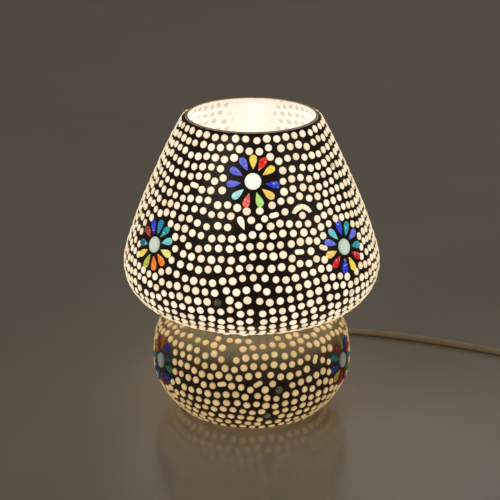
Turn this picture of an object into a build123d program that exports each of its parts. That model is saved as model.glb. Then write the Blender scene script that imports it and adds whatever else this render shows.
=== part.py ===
from build123d import *
import math
import os

# A mosaic glass table lamp: a blown glass body with an open cone-shaped dome over a round bowl, coated in
# dark grout that holds glass flowers, with a lamp holder and a bulb inside and a corded plug. The glass
# is one blown piece; it is saved as a dome and a bowl that meet at the waist.
# Millimetres. +Z is up, -Y is the front, and z = 0 is the table.

# ---- glass body ----
# Radius and height along the outside of the mosaic, from the top rim down to the base
MOSAIC_LINE = [
    (48.0, 214.5), (58.4, 194.8), (68.4, 173.2), (77.8, 151.4), (85.8, 129.0), (89.8, 110.0),
    (86.2, 96.5), (75.5, 85.0), (61.0, 78.6), (52.0, 73.2), (59.5, 68.5), (66.8, 61.0),
    (69.8, 46.5), (69.6, 30.0), (64.7, 18.4), (57.5, 8.6), (49.5, 1.5),
]
GROUT_THICKNESS = 2.6
GLASS_THICKNESS = 2.3
RIM_INNER_RADIUS = 44.0
RIM_OUTER_RADIUS = 45.6
RIM_TOP = 215.6
RIM_LINE_HEIGHT = 0.4
GROUT_TOP = 214.9
WAIST_HEIGHT = 73.2
BASE_UNDERSIDE = 3.4
BASE_RING_INNER_RADIUS = 35.5
BASE_FLOOR = 6.2
BASE_FLOOR_OUTER_RADIUS = 43.5
BASE_FLOOR_INNER_RADIUS = 37.5
PUNT_RADIUS = 25.5
PUNT_UNDERSIDE = 9.4
PUNT_THICKNESS = 3.0
PUNT_TOP_RADIUS = 26.5
BASE_HOLE_RADIUS = 5.3

# ---- flowers: bearing from the front in degrees (+ to the right) and height of the centre ----
HIGH_FLOWERS = [(0.7, 187.9), (120.0, 187.9), (-120.0, 187.9)]
LOW_FLOWERS = [(-52.7, 139.4), (48.8, 139.4), (180.0, 139.4)]
BOWL_FLOWERS = [(-66.1, 44.8), (66.5, 44.8), (180.0, 47.5)]
PETAL_COUNT = 11
PETAL_TIP_RADIUS = 7.0
PETAL_ROUND_CENTRE = 14.9
PETAL_ROUND_RADIUS = 2.9
FLOWER_CENTRE_RADIUS = 5.8
PETAL_PROUD = 0.5
PRISM_INWARD = 7.0
PRISM_OUTWARD = 3.0

# ---- feet ----
FOOT_RADIUS = 4.5
FOOT_CIRCLE_RADIUS = 41.3
FOOT_COUNT = 4
FOOT_CHAMFER = 0.6

# ---- threaded tube and its fixings ----
TUBE_RADIUS = 5.0
TUBE_BORE_RADIUS = 3.6
TUBE_BOTTOM = 3.2
TUBE_TOP = 41.0
NUT_ACROSS_FLATS = 14.0
NUT_HEIGHT = 3.0
WASHER_RADIUS = 9.0
STEEL_WASHER_HEIGHT = 1.0
RUBBER_WASHER_HEIGHT = 1.5

# ---- E14 lamp holder ----
HOLDER_RADIUS = 14.0
HOLDER_WALL = 1.6
CAP_BOTTOM = 33.0
CAP_NECK_RADIUS = 7.5
CAP_NECK_TOP = 40.0
CAP_SHOULDER = 44.0
CAP_TOP = 56.0
CAP_FLOOR_THICKNESS = 1.0
CAP_NECK_THICKNESS = 1.5
SKIRT_SPIGOT_RADIUS = 12.35
SKIRT_SPIGOT_BOTTOM = 52.0
SKIRT_INNER_RADIUS = 11.2
SKIRT_TOP = 88.0
SKIRT_TOP_RADIUS = 13.0
SKIRT_LIP_HEIGHT = 2.0
SKIRT_LIP_RADIUS = 9.5
INSERT_RADIUS = 11.2
INSERT_BOTTOM = 55.0
INSERT_TOP = 63.0
SHELL_INNER_RADIUS = 7.0
SHELL_WALL = 0.5
SHELL_TOP = 84.0
SHELL_FLOOR_HOLE_RADIUS = 3.6
CONTACT_RADIUS = 2.6
CONTACT_TOP = 64.8
SCREW_OFFSET_X = 6.5
SCREW_OFFSET_Y = -2.5
SCREW_RADIUS = 1.5
SCREW_HEAD_RADIUS = 2.5
SCREW_HEAD_HEIGHT = 1.8
SCREW_LENGTH = 5.0
SCREW_SLOT = 0.6
SCREW_SLOT_DEPTH = 0.6
CORD_ENTRY_HEIGHT = 48.5

# ---- bulb, in its own body ----
BULB_CAP_CREST_RADIUS = 6.93
BULB_CAP_ROOT_RADIUS = 6.4
BULB_CAP_INNER_RADIUS = 5.9
BULB_CAP_BOTTOM = 67.0
BULB_CAP_TOP = 82.0
BULB_THREAD_PITCH = 2.8
BULB_THREAD_TURNS = 5
BULB_NECK_RADIUS = 5.85
BULB_NECK_BOTTOM = 78.0
BULB_SHOULDER_RADIUS = 7.2
BULB_SHOULDER_HEIGHT = 84.5
BULB_NECK_STRAIGHT_END = 82.2
BULB_NECK_LEAN = 0.3
BULB_CONTACT_RADIUS = 2.4
BULB_CONTACT_HEIGHT = 0.8
INSULATOR_TIP_RADIUS = 3.4
INSULATOR_FLANGE = 1.5
GLOBE_RADIUS = 22.5
GLOBE_CENTRE_HEIGHT = 120.0
GLOBE_WALL = 0.8
GLOBE_NECK_ANGLE = 50.0
STEM_BOTTOM = 79.0
STEM_BASE_RADIUS = 4.2
STEM_SHOULDER_RADIUS = 3.2
STEM_TAPER_END = 92.0
STEM_TIP_RADIUS = 1.4
STEM_TOP = 112.0
FILAMENT_RADIUS = 0.8
FILAMENT_BOTTOM = 100.0
FILAMENT_TOP = 131.0
FILAMENT_FOOT_CIRCLE = 4.2
FILAMENT_HEAD_CIRCLE = 8.0
FILAMENT_COUNT = 4

# ---- cord, grommet and route ----
CORD_RADIUS = 2.5
CORD_ON_TABLE = 2.6
GROMMET_HOLE_RADIUS = 4.5
GROMMET_FLANGE_RADIUS = 6.5
GROMMET_POINT = (61.3, 13.4)
GROMMET_SLOPE = 36.3
GROMMET_OUTWARD = 3.0
GROMMET_INWARD = 8.0
ARC_SHARE = 0.45
INNER_BEND_Y = 41.0
INNER_LEVEL_Y = 28.0
INNER_END_Y = 9.0
LEAD_RADIUS = 0.8
# The right lead, as X, Y and height above the cord's entry; the left one mirrors it
LEAD_ROUTE = [(1.0, 9.0, 0.0), (3.4, 4.4, 0.0), (6.0, 2.6, 2.6), (6.5, 2.2, 6.5)]
BUSHING_RADIUS = 3.3
BUSHING_MIDDLE_Y = 13.4
BUSHING_LENGTH = 4.2
BUSHING_HOLE_LENGTH = 8.0
BUSHING_FLANGE_RADIUS = 4.6
BUSHING_FLANGE_MIDDLE_Y = 14.4
BUSHING_FLANGE_LENGTH = 2.2

SWITCH_HEADING = -20.0
SWITCH_AXIS_HEIGHT = 5.5
SWITCH_LENGTH = 60.0
SWITCH_END_RUN = 17.0
SWITCH_APPROACH = (217.0, 72.5, SWITCH_AXIS_HEIGHT)

COIL_CENTRE = (306.2, -8.5)
COIL_TURN_RADIUS = 27.5
COIL_HALF_WIDTH = 10.0
COIL_HEIGHT = 10.2
COIL_ENTRY_RADIUS = 35.0
COIL_ENTRY_ANGLE = 40.0
COIL_EXIT_RADIUS = 39.0
COIL_EXIT_ANGLE = -30.0

PLUG_END = (270.0, -88.0, 7.0)

# ---- in-line switch, along its own X axis ----
SWITCH_WIDTH = 26.0
SWITCH_HEIGHT = 16.0
SWITCH_WALL = 1.8
SWITCH_CORNER = 6.0
ROCKER_PIVOT_HEIGHT = 13.2
ROCKER_HALF_WIDTH = 5.5
ROCKER_TILT = 9.0
ROCKER_PIN_RADIUS = 1.2
ROCKER_PIN_REACH = 7.2
ROCKER_PIN_CLEARANCE = 0.05
ROCKER_OPENING = (19.0, 11.6)
# The rocker's side outline, as X along the switch and Z above the pivot
ROCKER_OUTLINE = [(-8.6, 4.0), (0.0, 2.2), (8.6, 4.0), (7.8, -0.5), (3.0, -2.5), (-3.0, -2.5), (-7.8, -0.5)]
RIB_THICKNESS = 2.0
RIB_LENGTH = 8.0
RIB_BOTTOM = 10.0
SWITCH_SCREW_X = 22.0
SWITCH_SCREW_RADIUS = 1.3
SWITCH_SCREW_HEAD_RADIUS = 2.6
SWITCH_SCREW_LENGTH = 9.0
SWITCH_SCREW_RECESS = 0.3
SWITCH_POST_RADIUS = 3.2
STRIP_THICKNESS = 0.8
STRIP_WIDTH = 4.0
STRIP_FOOT_LENGTH = 10.0
STRIP_FOOT_X = 11.0
STRIP_UPRIGHT_X = 6.4
STRIP_UPRIGHT_HEIGHT = 6.8

# ---- Europlug, along its own X axis towards the pins ----
RELIEF_LENGTH = 24.0
RELIEF_THIN_RADIUS = 3.6
RELIEF_THICK_RADIUS = 5.6
RELIEF_GROOVES = 4
RELIEF_GROOVE_MARGIN = 0.6
RELIEF_GROOVE_WIDTH = 1.6
RELIEF_CORE_WALL = 0.6
PLUG_BODY_LENGTH = 36.0
PLUG_SHOULDER = 10.0
PLUG_WIDTH = 35.3
PLUG_THICKNESS = 13.7
PLUG_NECK_WIDTH = 16.0
PLUG_NECK_THICKNESS = 12.0
PLUG_CORNER_SHARE = 0.4
PIN_SPACING = 18.6
PIN_RADIUS = 2.0
PIN_CORE_RADIUS = 1.4
PIN_LENGTH = 19.0
PIN_SLEEVE_LENGTH = 10.0
PIN_SOCKET_DEPTH = 12.0
PIN_TIP_CHAMFER = 0.8

# ---- cutting tools ----
OVERRUN = 1.0
HALF_SPACE = (400.0, 400.0, 400.0)
HEIGHT_SEARCH_STEPS = 40

os.makedirs("parts", exist_ok=True)


def save(name, shape):
    """Write one node."""
    shape.label = name
    export_step(shape, f"parts/{name}.step")


def turned(outline):
    """Turn a closed outline, given as edges in the XZ plane, round the lamp's axis."""
    return revolve(make_face(outline), Axis.Z)


def ring(inner, outer, bottom, top):
    """A plain ring on the lamp's axis."""
    outline = Polyline((inner, 0, bottom), (outer, 0, bottom), (outer, 0, top), (inner, 0, top), close=True)
    return turned(outline)


def disc(radius, bottom, top):
    """A plain disc on the lamp's axis."""
    return Pos(0, 0, bottom) * Cylinder(radius, top - bottom, align=(Align.CENTER, Align.CENTER, Align.MIN))


def rod_along_x(radius, start, end, offset=0.0):
    """A round rod along X."""
    rod = Cylinder(radius, end - start, align=(Align.CENTER, Align.CENTER, Align.MIN))
    return Pos(start, offset, 0) * Rot(0, 90, 0) * rod


# ---------------------------------------------------------------- the glass body's lines
mosaic_line = Spline(*[(radius, 0, height) for radius, height in MOSAIC_LINE])


def inward_normal(position):
    """The unit normal of the mosaic line at a position from 0 to 1, pointing into the lamp."""
    along = mosaic_line.tangent_at(position)
    return Vector(along.Z, 0, -along.X).normalized()


def line_below(depth):
    """The mosaic line moved a given depth into the lamp."""
    points = []
    for radius, height in MOSAIC_LINE:
        position = mosaic_line.param_at_point(Vector(radius, 0, height))
        points.append(Vector(radius, 0, height) + inward_normal(position) * depth)
    return points


def position_at_height(height, low, high):
    """The position along the mosaic line that lies at a height, between two positions."""
    for _ in range(HEIGHT_SEARCH_STEPS):
        middle = (low + high) / 2
        if (mosaic_line.position_at(middle).Z - height) * (mosaic_line.position_at(low).Z - height) > 0:
            low = middle
        else:
            high = middle
    return (low + high) / 2


glass_outside = line_below(GROUT_THICKNESS)
glass_inside = line_below(GROUT_THICKNESS + GLASS_THICKNESS)
glass_inside[-1] = Vector(BASE_FLOOR_OUTER_RADIUS, 0, BASE_FLOOR)
glass_outside[-1] = Vector(glass_outside[-1].X, 0, BASE_UNDERSIDE)


def lamp_glass():
    """The blown glass: open top, dome, waist, bowl and a bottom pushed up in the middle."""
    outside = Spline(*glass_outside)
    inside = Spline(*glass_inside)
    rim = Polyline(
        outside @ 0,
        (RIM_OUTER_RADIUS, 0, RIM_TOP),
        (RIM_INNER_RADIUS, 0, RIM_TOP),
        inside @ 0,
    )
    base = Polyline(
        outside @ 1,
        (BASE_RING_INNER_RADIUS, 0, BASE_UNDERSIDE),
        (PUNT_RADIUS, 0, PUNT_UNDERSIDE),
        (BASE_HOLE_RADIUS, 0, PUNT_UNDERSIDE),
        (BASE_HOLE_RADIUS, 0, PUNT_UNDERSIDE + PUNT_THICKNESS),
        (PUNT_TOP_RADIUS, 0, PUNT_UNDERSIDE + PUNT_THICKNESS),
        (BASE_FLOOR_INNER_RADIUS, 0, BASE_FLOOR),
        inside @ 1,
    )
    return turned([*outside.edges(), *inside.edges(), *rim.edges(), *base.edges()])


def grout_coat():
    """The whole coat from the rim to the base, before it is parted at the waist."""
    outside = Spline(*[(radius, 0, height) for radius, height in MOSAIC_LINE])
    inside = Spline(*glass_outside)
    wall_share = (GROUT_TOP - glass_outside[0].Z) / (RIM_TOP - glass_outside[0].Z)
    wall_radius = glass_outside[0].X + (RIM_OUTER_RADIUS - glass_outside[0].X) * wall_share
    top = Polyline(outside @ 0, (wall_radius, 0, GROUT_TOP), inside @ 0)
    bottom = Line(outside @ 1, inside @ 1)
    return turned([*outside.edges(), *inside.edges(), *top.edges(), *bottom.edges()])


def petal_layer():
    """The layer that the flowers' glass fills: from the glass body to just above the grout."""
    outside = Spline(*line_below(-PETAL_PROUD))
    inside = Spline(*glass_outside)
    top = Line(outside @ 0, inside @ 0)
    bottom = Line(outside @ 1, inside @ 1)
    return turned([*outside.edges(), *inside.edges(), *top.edges(), *bottom.edges()])


# ---------------------------------------------------------------- flowers
def flower_plane(bearing, height):
    """The plane that touches the mosaic at a flower's centre."""
    waist = position_at_height(WAIST_HEIGHT, 0.0, 1.0)
    low, high = (0.0, waist) if height > WAIST_HEIGHT else (waist, 1.0)
    position = position_at_height(height, low, high)
    point = mosaic_line.position_at(position)
    outward = inward_normal(position) * -1
    turn = math.radians(bearing)
    across = Vector(math.sin(turn), -math.cos(turn), 0)
    origin = across * point.X + Vector(0, 0, point.Z)
    normal = across * outward.X + Vector(0, 0, outward.Z)
    sideways = Vector(math.cos(turn), math.sin(turn), 0)
    return Plane(origin=origin, x_dir=sideways, z_dir=normal)


def petal_face(angle):
    """A teardrop with its point towards the flower's centre."""
    reach = PETAL_ROUND_CENTRE - PETAL_TIP_RADIUS
    touch = math.acos(PETAL_ROUND_RADIUS / reach)
    touch_x = PETAL_ROUND_CENTRE - PETAL_ROUND_RADIUS * math.cos(touch)
    touch_y = PETAL_ROUND_RADIUS * math.sin(touch)
    tip = (PETAL_TIP_RADIUS, 0)
    round_end = ThreePointArc(
        (touch_x, -touch_y), (PETAL_ROUND_CENTRE + PETAL_ROUND_RADIUS, 0), (touch_x, touch_y)
    )
    sides = Polyline((touch_x, touch_y), tip, (touch_x, -touch_y))
    return Rot(0, 0, angle) * make_face([*round_end.edges(), *sides.edges()])


def through_layer(plane, face):
    """A prism along the flower's normal that passes right through the layer."""
    block = extrude(Pos(0, 0, -PRISM_INWARD) * face, PRISM_INWARD + PRISM_OUTWARD, dir=(0, 0, 1))
    return plane.location * block


def flower_prisms(bearing, height):
    """The prisms of one flower: its petals, then its centre."""
    plane = flower_plane(bearing, height)
    angles = [90 + k * 360 / PETAL_COUNT for k in range(PETAL_COUNT)]
    petals = [through_layer(plane, petal_face(angle)) for angle in angles]
    return petals, through_layer(plane, Circle(FLOWER_CENTRE_RADIUS).face())


# ---------------------------------------------------------------- lamp holder
def hex_nut(bottom):
    """An M10x1 lock nut."""
    nut = extrude(RegularPolygon(NUT_ACROSS_FLATS / 2, 6, major_radius=False), NUT_HEIGHT)
    return Pos(0, 0, bottom) * nut - disc(TUBE_RADIUS, bottom, bottom + NUT_HEIGHT)


def holder_cap():
    """The holder's lower cup with its threaded neck and the side hole for the cord."""
    inner = HOLDER_RADIUS - HOLDER_WALL
    outline = Polyline(
        (TUBE_RADIUS, 0, CAP_BOTTOM),
        (CAP_NECK_RADIUS, 0, CAP_BOTTOM),
        (CAP_NECK_RADIUS, 0, CAP_NECK_TOP),
        (HOLDER_RADIUS, 0, CAP_SHOULDER),
        (HOLDER_RADIUS, 0, CAP_TOP),
        (inner, 0, CAP_TOP),
        (inner, 0, CAP_SHOULDER + CAP_FLOOR_THICKNESS),
        (TUBE_RADIUS, 0, CAP_NECK_TOP + CAP_NECK_THICKNESS),
        close=True,
    )
    side_hole = Pos(0, HOLDER_RADIUS, CORD_ENTRY_HEIGHT) * Rot(90, 0, 0) * Cylinder(
        BUSHING_RADIUS, BUSHING_HOLE_LENGTH
    )
    return turned(outline) - side_hole


def holder_skirt():
    """The holder's upper sleeve: a spigot in the cap below and an inward lip above."""
    inner_top = SKIRT_TOP - SKIRT_LIP_HEIGHT
    outline = Polyline(
        (SKIRT_INNER_RADIUS, 0, SKIRT_SPIGOT_BOTTOM),
        (SKIRT_SPIGOT_RADIUS, 0, SKIRT_SPIGOT_BOTTOM),
        (SKIRT_SPIGOT_RADIUS, 0, CAP_TOP),
        (HOLDER_RADIUS, 0, CAP_TOP),
        (SKIRT_TOP_RADIUS, 0, SKIRT_TOP),
        (SKIRT_LIP_RADIUS, 0, SKIRT_TOP),
        (SKIRT_LIP_RADIUS, 0, inner_top),
        (SKIRT_INNER_RADIUS, 0, inner_top),
        close=True,
    )
    return turned(outline)


def cord_bushing(cap):
    """The flanged sleeve in the cap's side hole, shaped to the cap's wall."""
    middle = Pos(0, BUSHING_MIDDLE_Y, CORD_ENTRY_HEIGHT) * Rot(90, 0, 0)
    flange_middle = Pos(0, BUSHING_FLANGE_MIDDLE_Y, CORD_ENTRY_HEIGHT) * Rot(90, 0, 0)
    sleeve = middle * Cylinder(BUSHING_RADIUS, BUSHING_LENGTH)
    flange = flange_middle * Cylinder(BUSHING_FLANGE_RADIUS, BUSHING_FLANGE_LENGTH)
    bore = middle * Cylinder(CORD_RADIUS, 2 * BUSHING_HOLE_LENGTH)
    return sleeve + flange - cap - disc(HOLDER_RADIUS - HOLDER_WALL, CAP_SHOULDER, CAP_TOP) - bore


def terminal_screw(side):
    """A slotted screw in the underside of the holder's insert."""
    head = disc(SCREW_HEAD_RADIUS, INSERT_BOTTOM - SCREW_HEAD_HEIGHT, INSERT_BOTTOM)
    shank = disc(SCREW_RADIUS, INSERT_BOTTOM, INSERT_BOTTOM + SCREW_LENGTH)
    slot = Pos(0, 0, INSERT_BOTTOM - SCREW_HEAD_HEIGHT) * Box(
        2 * SCREW_HEAD_RADIUS, SCREW_SLOT, 2 * SCREW_SLOT_DEPTH
    )
    return Pos(side * SCREW_OFFSET_X, SCREW_OFFSET_Y, 0) * (head + shank - slot)


def holder_insert():
    """The porcelain insert that carries the contacts."""
    block = disc(INSERT_RADIUS, INSERT_BOTTOM, INSERT_TOP)
    for side in (-1, 1):
        block -= Pos(side * SCREW_OFFSET_X, SCREW_OFFSET_Y, 0) * disc(
            SCREW_RADIUS, INSERT_BOTTOM, INSERT_BOTTOM + SCREW_LENGTH
        )
    return block - disc(CONTACT_RADIUS / 2, INSERT_BOTTOM, INSERT_TOP)


def screw_shell():
    """The brass shell that the bulb's cap screws into."""
    outer = SHELL_INNER_RADIUS + SHELL_WALL
    wall = ring(SHELL_INNER_RADIUS, outer, INSERT_TOP, SHELL_TOP)
    floor = ring(SHELL_FLOOR_HOLE_RADIUS, outer, INSERT_TOP, INSERT_TOP + SHELL_WALL)
    return wall + floor


def centre_contact():
    """The brass button that meets the bulb's tip, with a rivet through the insert."""
    return disc(CONTACT_RADIUS, INSERT_TOP, CONTACT_TOP) + disc(CONTACT_RADIUS / 2, INSERT_BOTTOM, INSERT_TOP)


# ---------------------------------------------------------------- bulb
def globe_line(shrink):
    """The globe's outline, from the neck to the top, moved in by a wall thickness."""
    radius = GLOBE_RADIUS - shrink
    angle = math.radians(GLOBE_NECK_ANGLE)
    join = Vector(radius * math.cos(angle), 0, GLOBE_CENTRE_HEIGHT - radius * math.sin(angle))
    shoulder = Vector(BULB_SHOULDER_RADIUS - shrink, 0, BULB_SHOULDER_HEIGHT)
    middle = Vector(radius, 0, GLOBE_CENTRE_HEIGHT)
    neck_radius = BULB_NECK_RADIUS - shrink
    neck = Line((neck_radius, 0, BULB_NECK_BOTTOM), (neck_radius, 0, BULB_NECK_STRAIGHT_END))
    flare = Spline(
        neck @ 1,
        shoulder,
        join,
        tangents=[Vector(BULB_NECK_LEAN, 0, 1), Vector(math.sin(angle), 0, math.cos(angle))],
    )
    belly = ThreePointArc(join, middle, (0, 0, GLOBE_CENTRE_HEIGHT + radius))
    return [*neck.edges(), *flare.edges(), *belly.edges()]


def bulb_globe():
    """The frosted glass globe and its neck, one thin wall."""
    foot = Line((BULB_NECK_RADIUS - GLOBE_WALL, 0, BULB_NECK_BOTTOM), (BULB_NECK_RADIUS, 0, BULB_NECK_BOTTOM))
    crown = Line(
        (0, 0, GLOBE_CENTRE_HEIGHT + GLOBE_RADIUS - GLOBE_WALL), (0, 0, GLOBE_CENTRE_HEIGHT + GLOBE_RADIUS)
    )
    return turned([*globe_line(0), *globe_line(GLOBE_WALL), *foot.edges(), *crown.edges()])


def bulb_cap():
    """The bulb's screw cap, its rolled thread drawn as rings."""
    thread = [(BULB_CAP_ROOT_RADIUS, 0, BULB_CAP_BOTTOM)]
    for turn in range(BULB_THREAD_TURNS):
        start = BULB_CAP_BOTTOM + turn * BULB_THREAD_PITCH
        thread.append((BULB_CAP_CREST_RADIUS, 0, start + BULB_THREAD_PITCH * 0.4))
        thread.append((BULB_CAP_CREST_RADIUS, 0, start + BULB_THREAD_PITCH * 0.6))
        thread.append((BULB_CAP_ROOT_RADIUS, 0, start + BULB_THREAD_PITCH))
    thread.append((BULB_CAP_ROOT_RADIUS, 0, BULB_CAP_TOP))
    inside = [(BULB_CAP_INNER_RADIUS, 0, BULB_CAP_TOP), (BULB_CAP_INNER_RADIUS, 0, BULB_CAP_BOTTOM)]
    return turned(Polyline(*thread, *inside, close=True))


def bulb_insulator():
    """The black glass cone that closes the cap's lower end."""
    tip = CONTACT_TOP + BULB_CONTACT_HEIGHT
    outline = Polyline(
        (0, 0, tip),
        (INSULATOR_TIP_RADIUS, 0, tip),
        (BULB_CAP_INNER_RADIUS, 0, BULB_CAP_BOTTOM),
        (BULB_CAP_INNER_RADIUS, 0, BULB_CAP_BOTTOM + INSULATOR_FLANGE),
        (0, 0, BULB_CAP_BOTTOM + INSULATOR_FLANGE),
        close=True,
    )
    return turned(outline)


def bulb_stem():
    """The glass stem inside the globe that carries the filaments."""
    outline = Polyline(
        (0, 0, STEM_BOTTOM),
        (STEM_BASE_RADIUS, 0, STEM_BOTTOM),
        (STEM_SHOULDER_RADIUS, 0, BULB_SHOULDER_HEIGHT),
        (STEM_TIP_RADIUS, 0, STEM_TAPER_END),
        (STEM_TIP_RADIUS, 0, STEM_TOP),
        (0, 0, STEM_TOP),
        close=True,
    )
    return turned(outline)


def bulb_filaments():
    """Straight light rods that lean outwards round the stem."""
    rods = []
    for k in range(FILAMENT_COUNT):
        outward = Rot(0, 0, k * 360 / FILAMENT_COUNT)
        foot = (outward * Pos(FILAMENT_FOOT_CIRCLE, 0, FILAMENT_BOTTOM)).position
        head = (outward * Pos(FILAMENT_HEAD_CIRCLE, 0, FILAMENT_TOP)).position
        plane = Plane(origin=foot, z_dir=head - foot)
        rods.append(plane.location * Cylinder(
            FILAMENT_RADIUS, (head - foot).length, align=(Align.CENTER, Align.CENTER, Align.MIN)
        ))
    return Compound(children=rods)


# ---------------------------------------------------------------- cord
def arc_radii(points):
    """The arc radius at each corner: a share of the shorter run over the tangent of half the turn."""
    radii = []
    for before, corner, after in zip(points, points[1:], points[2:]):
        arriving = Vector(*corner) - Vector(*before)
        leaving = Vector(*after) - Vector(*corner)
        half_turn = math.radians(arriving.get_angle(leaving)) / 2
        radii.append(ARC_SHARE * min(arriving.length, leaving.length) / math.tan(half_turn))
    return radii


def cord_tube(name, points, radius):
    """A round tube of straight runs joined by arcs; prints its length, volume and arc radii."""
    radii = arc_radii(points)
    path = FilletPolyline(*points, radius=radii)
    start = Plane(origin=path @ 0, z_dir=path % 0)
    tube = sweep(start * Circle(radius), path=path)
    print(name, "length", round(path.length, 1), "volume", round(tube.volume, 1),
          "section x length", round(math.pi * radius ** 2 * path.length, 1),
          "smallest radius", round(min(radii), 1), "radii", [round(r, 1) for r in radii])
    return tube


grommet_slope = math.radians(GROMMET_SLOPE)
grommet_axis = Vector(0, math.cos(grommet_slope), -math.sin(grommet_slope))
grommet_centre = Vector(0, *GROMMET_POINT)
cord_exit = grommet_centre + grommet_axis * GROMMET_OUTWARD
cord_inner_end = grommet_centre - grommet_axis * GROMMET_INWARD


def along_grommet(radius, start, end):
    """A round rod on the grommet's axis, measured outwards from the bowl's surface."""
    plane = Plane(origin=grommet_centre + grommet_axis * start, z_dir=grommet_axis)
    return plane.location * Cylinder(radius, end - start, align=(Align.CENTER, Align.CENTER, Align.MIN))


def grommet(glass, grout):
    """The rubber ring in the bowl's back wall, its flanges shaped to both sides of the wall."""
    barrel = along_grommet(GROMMET_HOLE_RADIUS, -GROMMET_INWARD, GROMMET_OUTWARD)
    flanges = along_grommet(GROMMET_FLANGE_RADIUS, -GROMMET_INWARD, GROMMET_OUTWARD)
    bore = along_grommet(CORD_RADIUS, -GROMMET_INWARD - OVERRUN, GROMMET_OUTWARD + OVERRUN)
    return barrel + (flanges - glass - grout) - bore


def heading(angle):
    """A level direction, anticlockwise from +X."""
    return Vector(math.cos(math.radians(angle)), math.sin(math.radians(angle)), 0)


def coil_point(angle, radius):
    """A point on the table at an angle and radius from the coil's centre."""
    return Vector(*COIL_CENTRE, CORD_ON_TABLE) + heading(angle) * radius


touchdown_run = (cord_exit.Z - CORD_ON_TABLE) / math.sin(grommet_slope)
touchdown = cord_exit + grommet_axis * touchdown_run
switch_start = Vector(*SWITCH_APPROACH) + heading(SWITCH_HEADING) * SWITCH_END_RUN
switch_end = switch_start + heading(SWITCH_HEADING) * SWITCH_LENGTH

INNER_ROUTE = [
    cord_inner_end,
    (0, INNER_BEND_Y, cord_inner_end.Z + (cord_inner_end.Y - INNER_BEND_Y) * math.tan(grommet_slope)),
    (0, INNER_LEVEL_Y, CORD_ENTRY_HEIGHT),
    (0, INNER_END_Y, CORD_ENTRY_HEIGHT),
]
LAMP_ROUTE = [
    cord_exit,
    touchdown,
    (5.0, 100.5, CORD_ON_TABLE),
    (35.0, 125.0, CORD_ON_TABLE),
    (82.0, 125.0, CORD_ON_TABLE),
    (130.0, 110.0, CORD_ON_TABLE),
    (172.0, 92.0, CORD_ON_TABLE),
    (200.0, 78.0, CORD_ON_TABLE),
    SWITCH_APPROACH,
    switch_start,
]
SWITCH_ROUTE = [
    switch_end,
    switch_end + heading(SWITCH_HEADING) * SWITCH_END_RUN,
    (323.5, 29.5, CORD_ON_TABLE),
    coil_point(COIL_ENTRY_ANGLE, COIL_ENTRY_RADIUS),
]
PLUG_ROUTE = [
    coil_point(COIL_EXIT_ANGLE, COIL_EXIT_RADIUS),
    (327.5, -50.0, CORD_ON_TABLE),
    (313.0, -73.0, CORD_ON_TABLE),
    (290.0, PLUG_END[1], PLUG_END[2]),
    PLUG_END,
]


def cord_coil():
    """The put-away coil as one ring of its outer shape."""
    section = Pos(COIL_TURN_RADIUS, 0, COIL_HEIGHT / 2) * Rot(90, 0, 0) * RectangleRounded(
        2 * COIL_HALF_WIDTH, COIL_HEIGHT, CORD_RADIUS
    )
    return Pos(*COIL_CENTRE, 0) * revolve(section, Axis.Z)


def leads():
    """The two insulated leads from the cord's end to the terminals."""
    pair = []
    for side, name in ((-1, "left lead"), (1, "right lead")):
        route = [(side * x, y, CORD_ENTRY_HEIGHT + up) for x, y, up in LEAD_ROUTE]
        pair.append(cord_tube(name, route, LEAD_RADIUS))
    return Compound(children=pair)


# ---------------------------------------------------------------- in-line switch
def switch_place(shape):
    """Move a piece from the switch's own axes to its place on the cord."""
    middle = (switch_start + switch_end) * 0.5
    return Pos(middle.X, middle.Y, 0) * Rot(0, 0, SWITCH_HEADING) * shape


def switch_block(inset, bottom, top):
    """The switch's rounded outline, inset by a wall, between two heights."""
    outline = RectangleRounded(SWITCH_LENGTH - 2 * inset, SWITCH_WIDTH - 2 * inset, SWITCH_CORNER - inset)
    return extrude(Pos(0, 0, bottom) * outline, top - bottom, dir=(0, 0, 1))


def switch_base():
    """The lower half: a tray with two screw holes."""
    tray = switch_block(0, 0, SWITCH_AXIS_HEIGHT) - switch_block(SWITCH_WALL, SWITCH_WALL, SWITCH_AXIS_HEIGHT)
    for side in (-1, 1):
        tray += Pos(side * SWITCH_SCREW_X, 0, 0) * disc(SWITCH_POST_RADIUS, 0, SWITCH_AXIS_HEIGHT)
        tray -= Pos(side * SWITCH_SCREW_X, 0, 0) * disc(SWITCH_SCREW_HEAD_RADIUS, 0, SWITCH_WALL)
        tray -= Pos(side * SWITCH_SCREW_X, 0, 0) * disc(SWITCH_SCREW_RADIUS, 0, SWITCH_AXIS_HEIGHT)
    return tray


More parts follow.
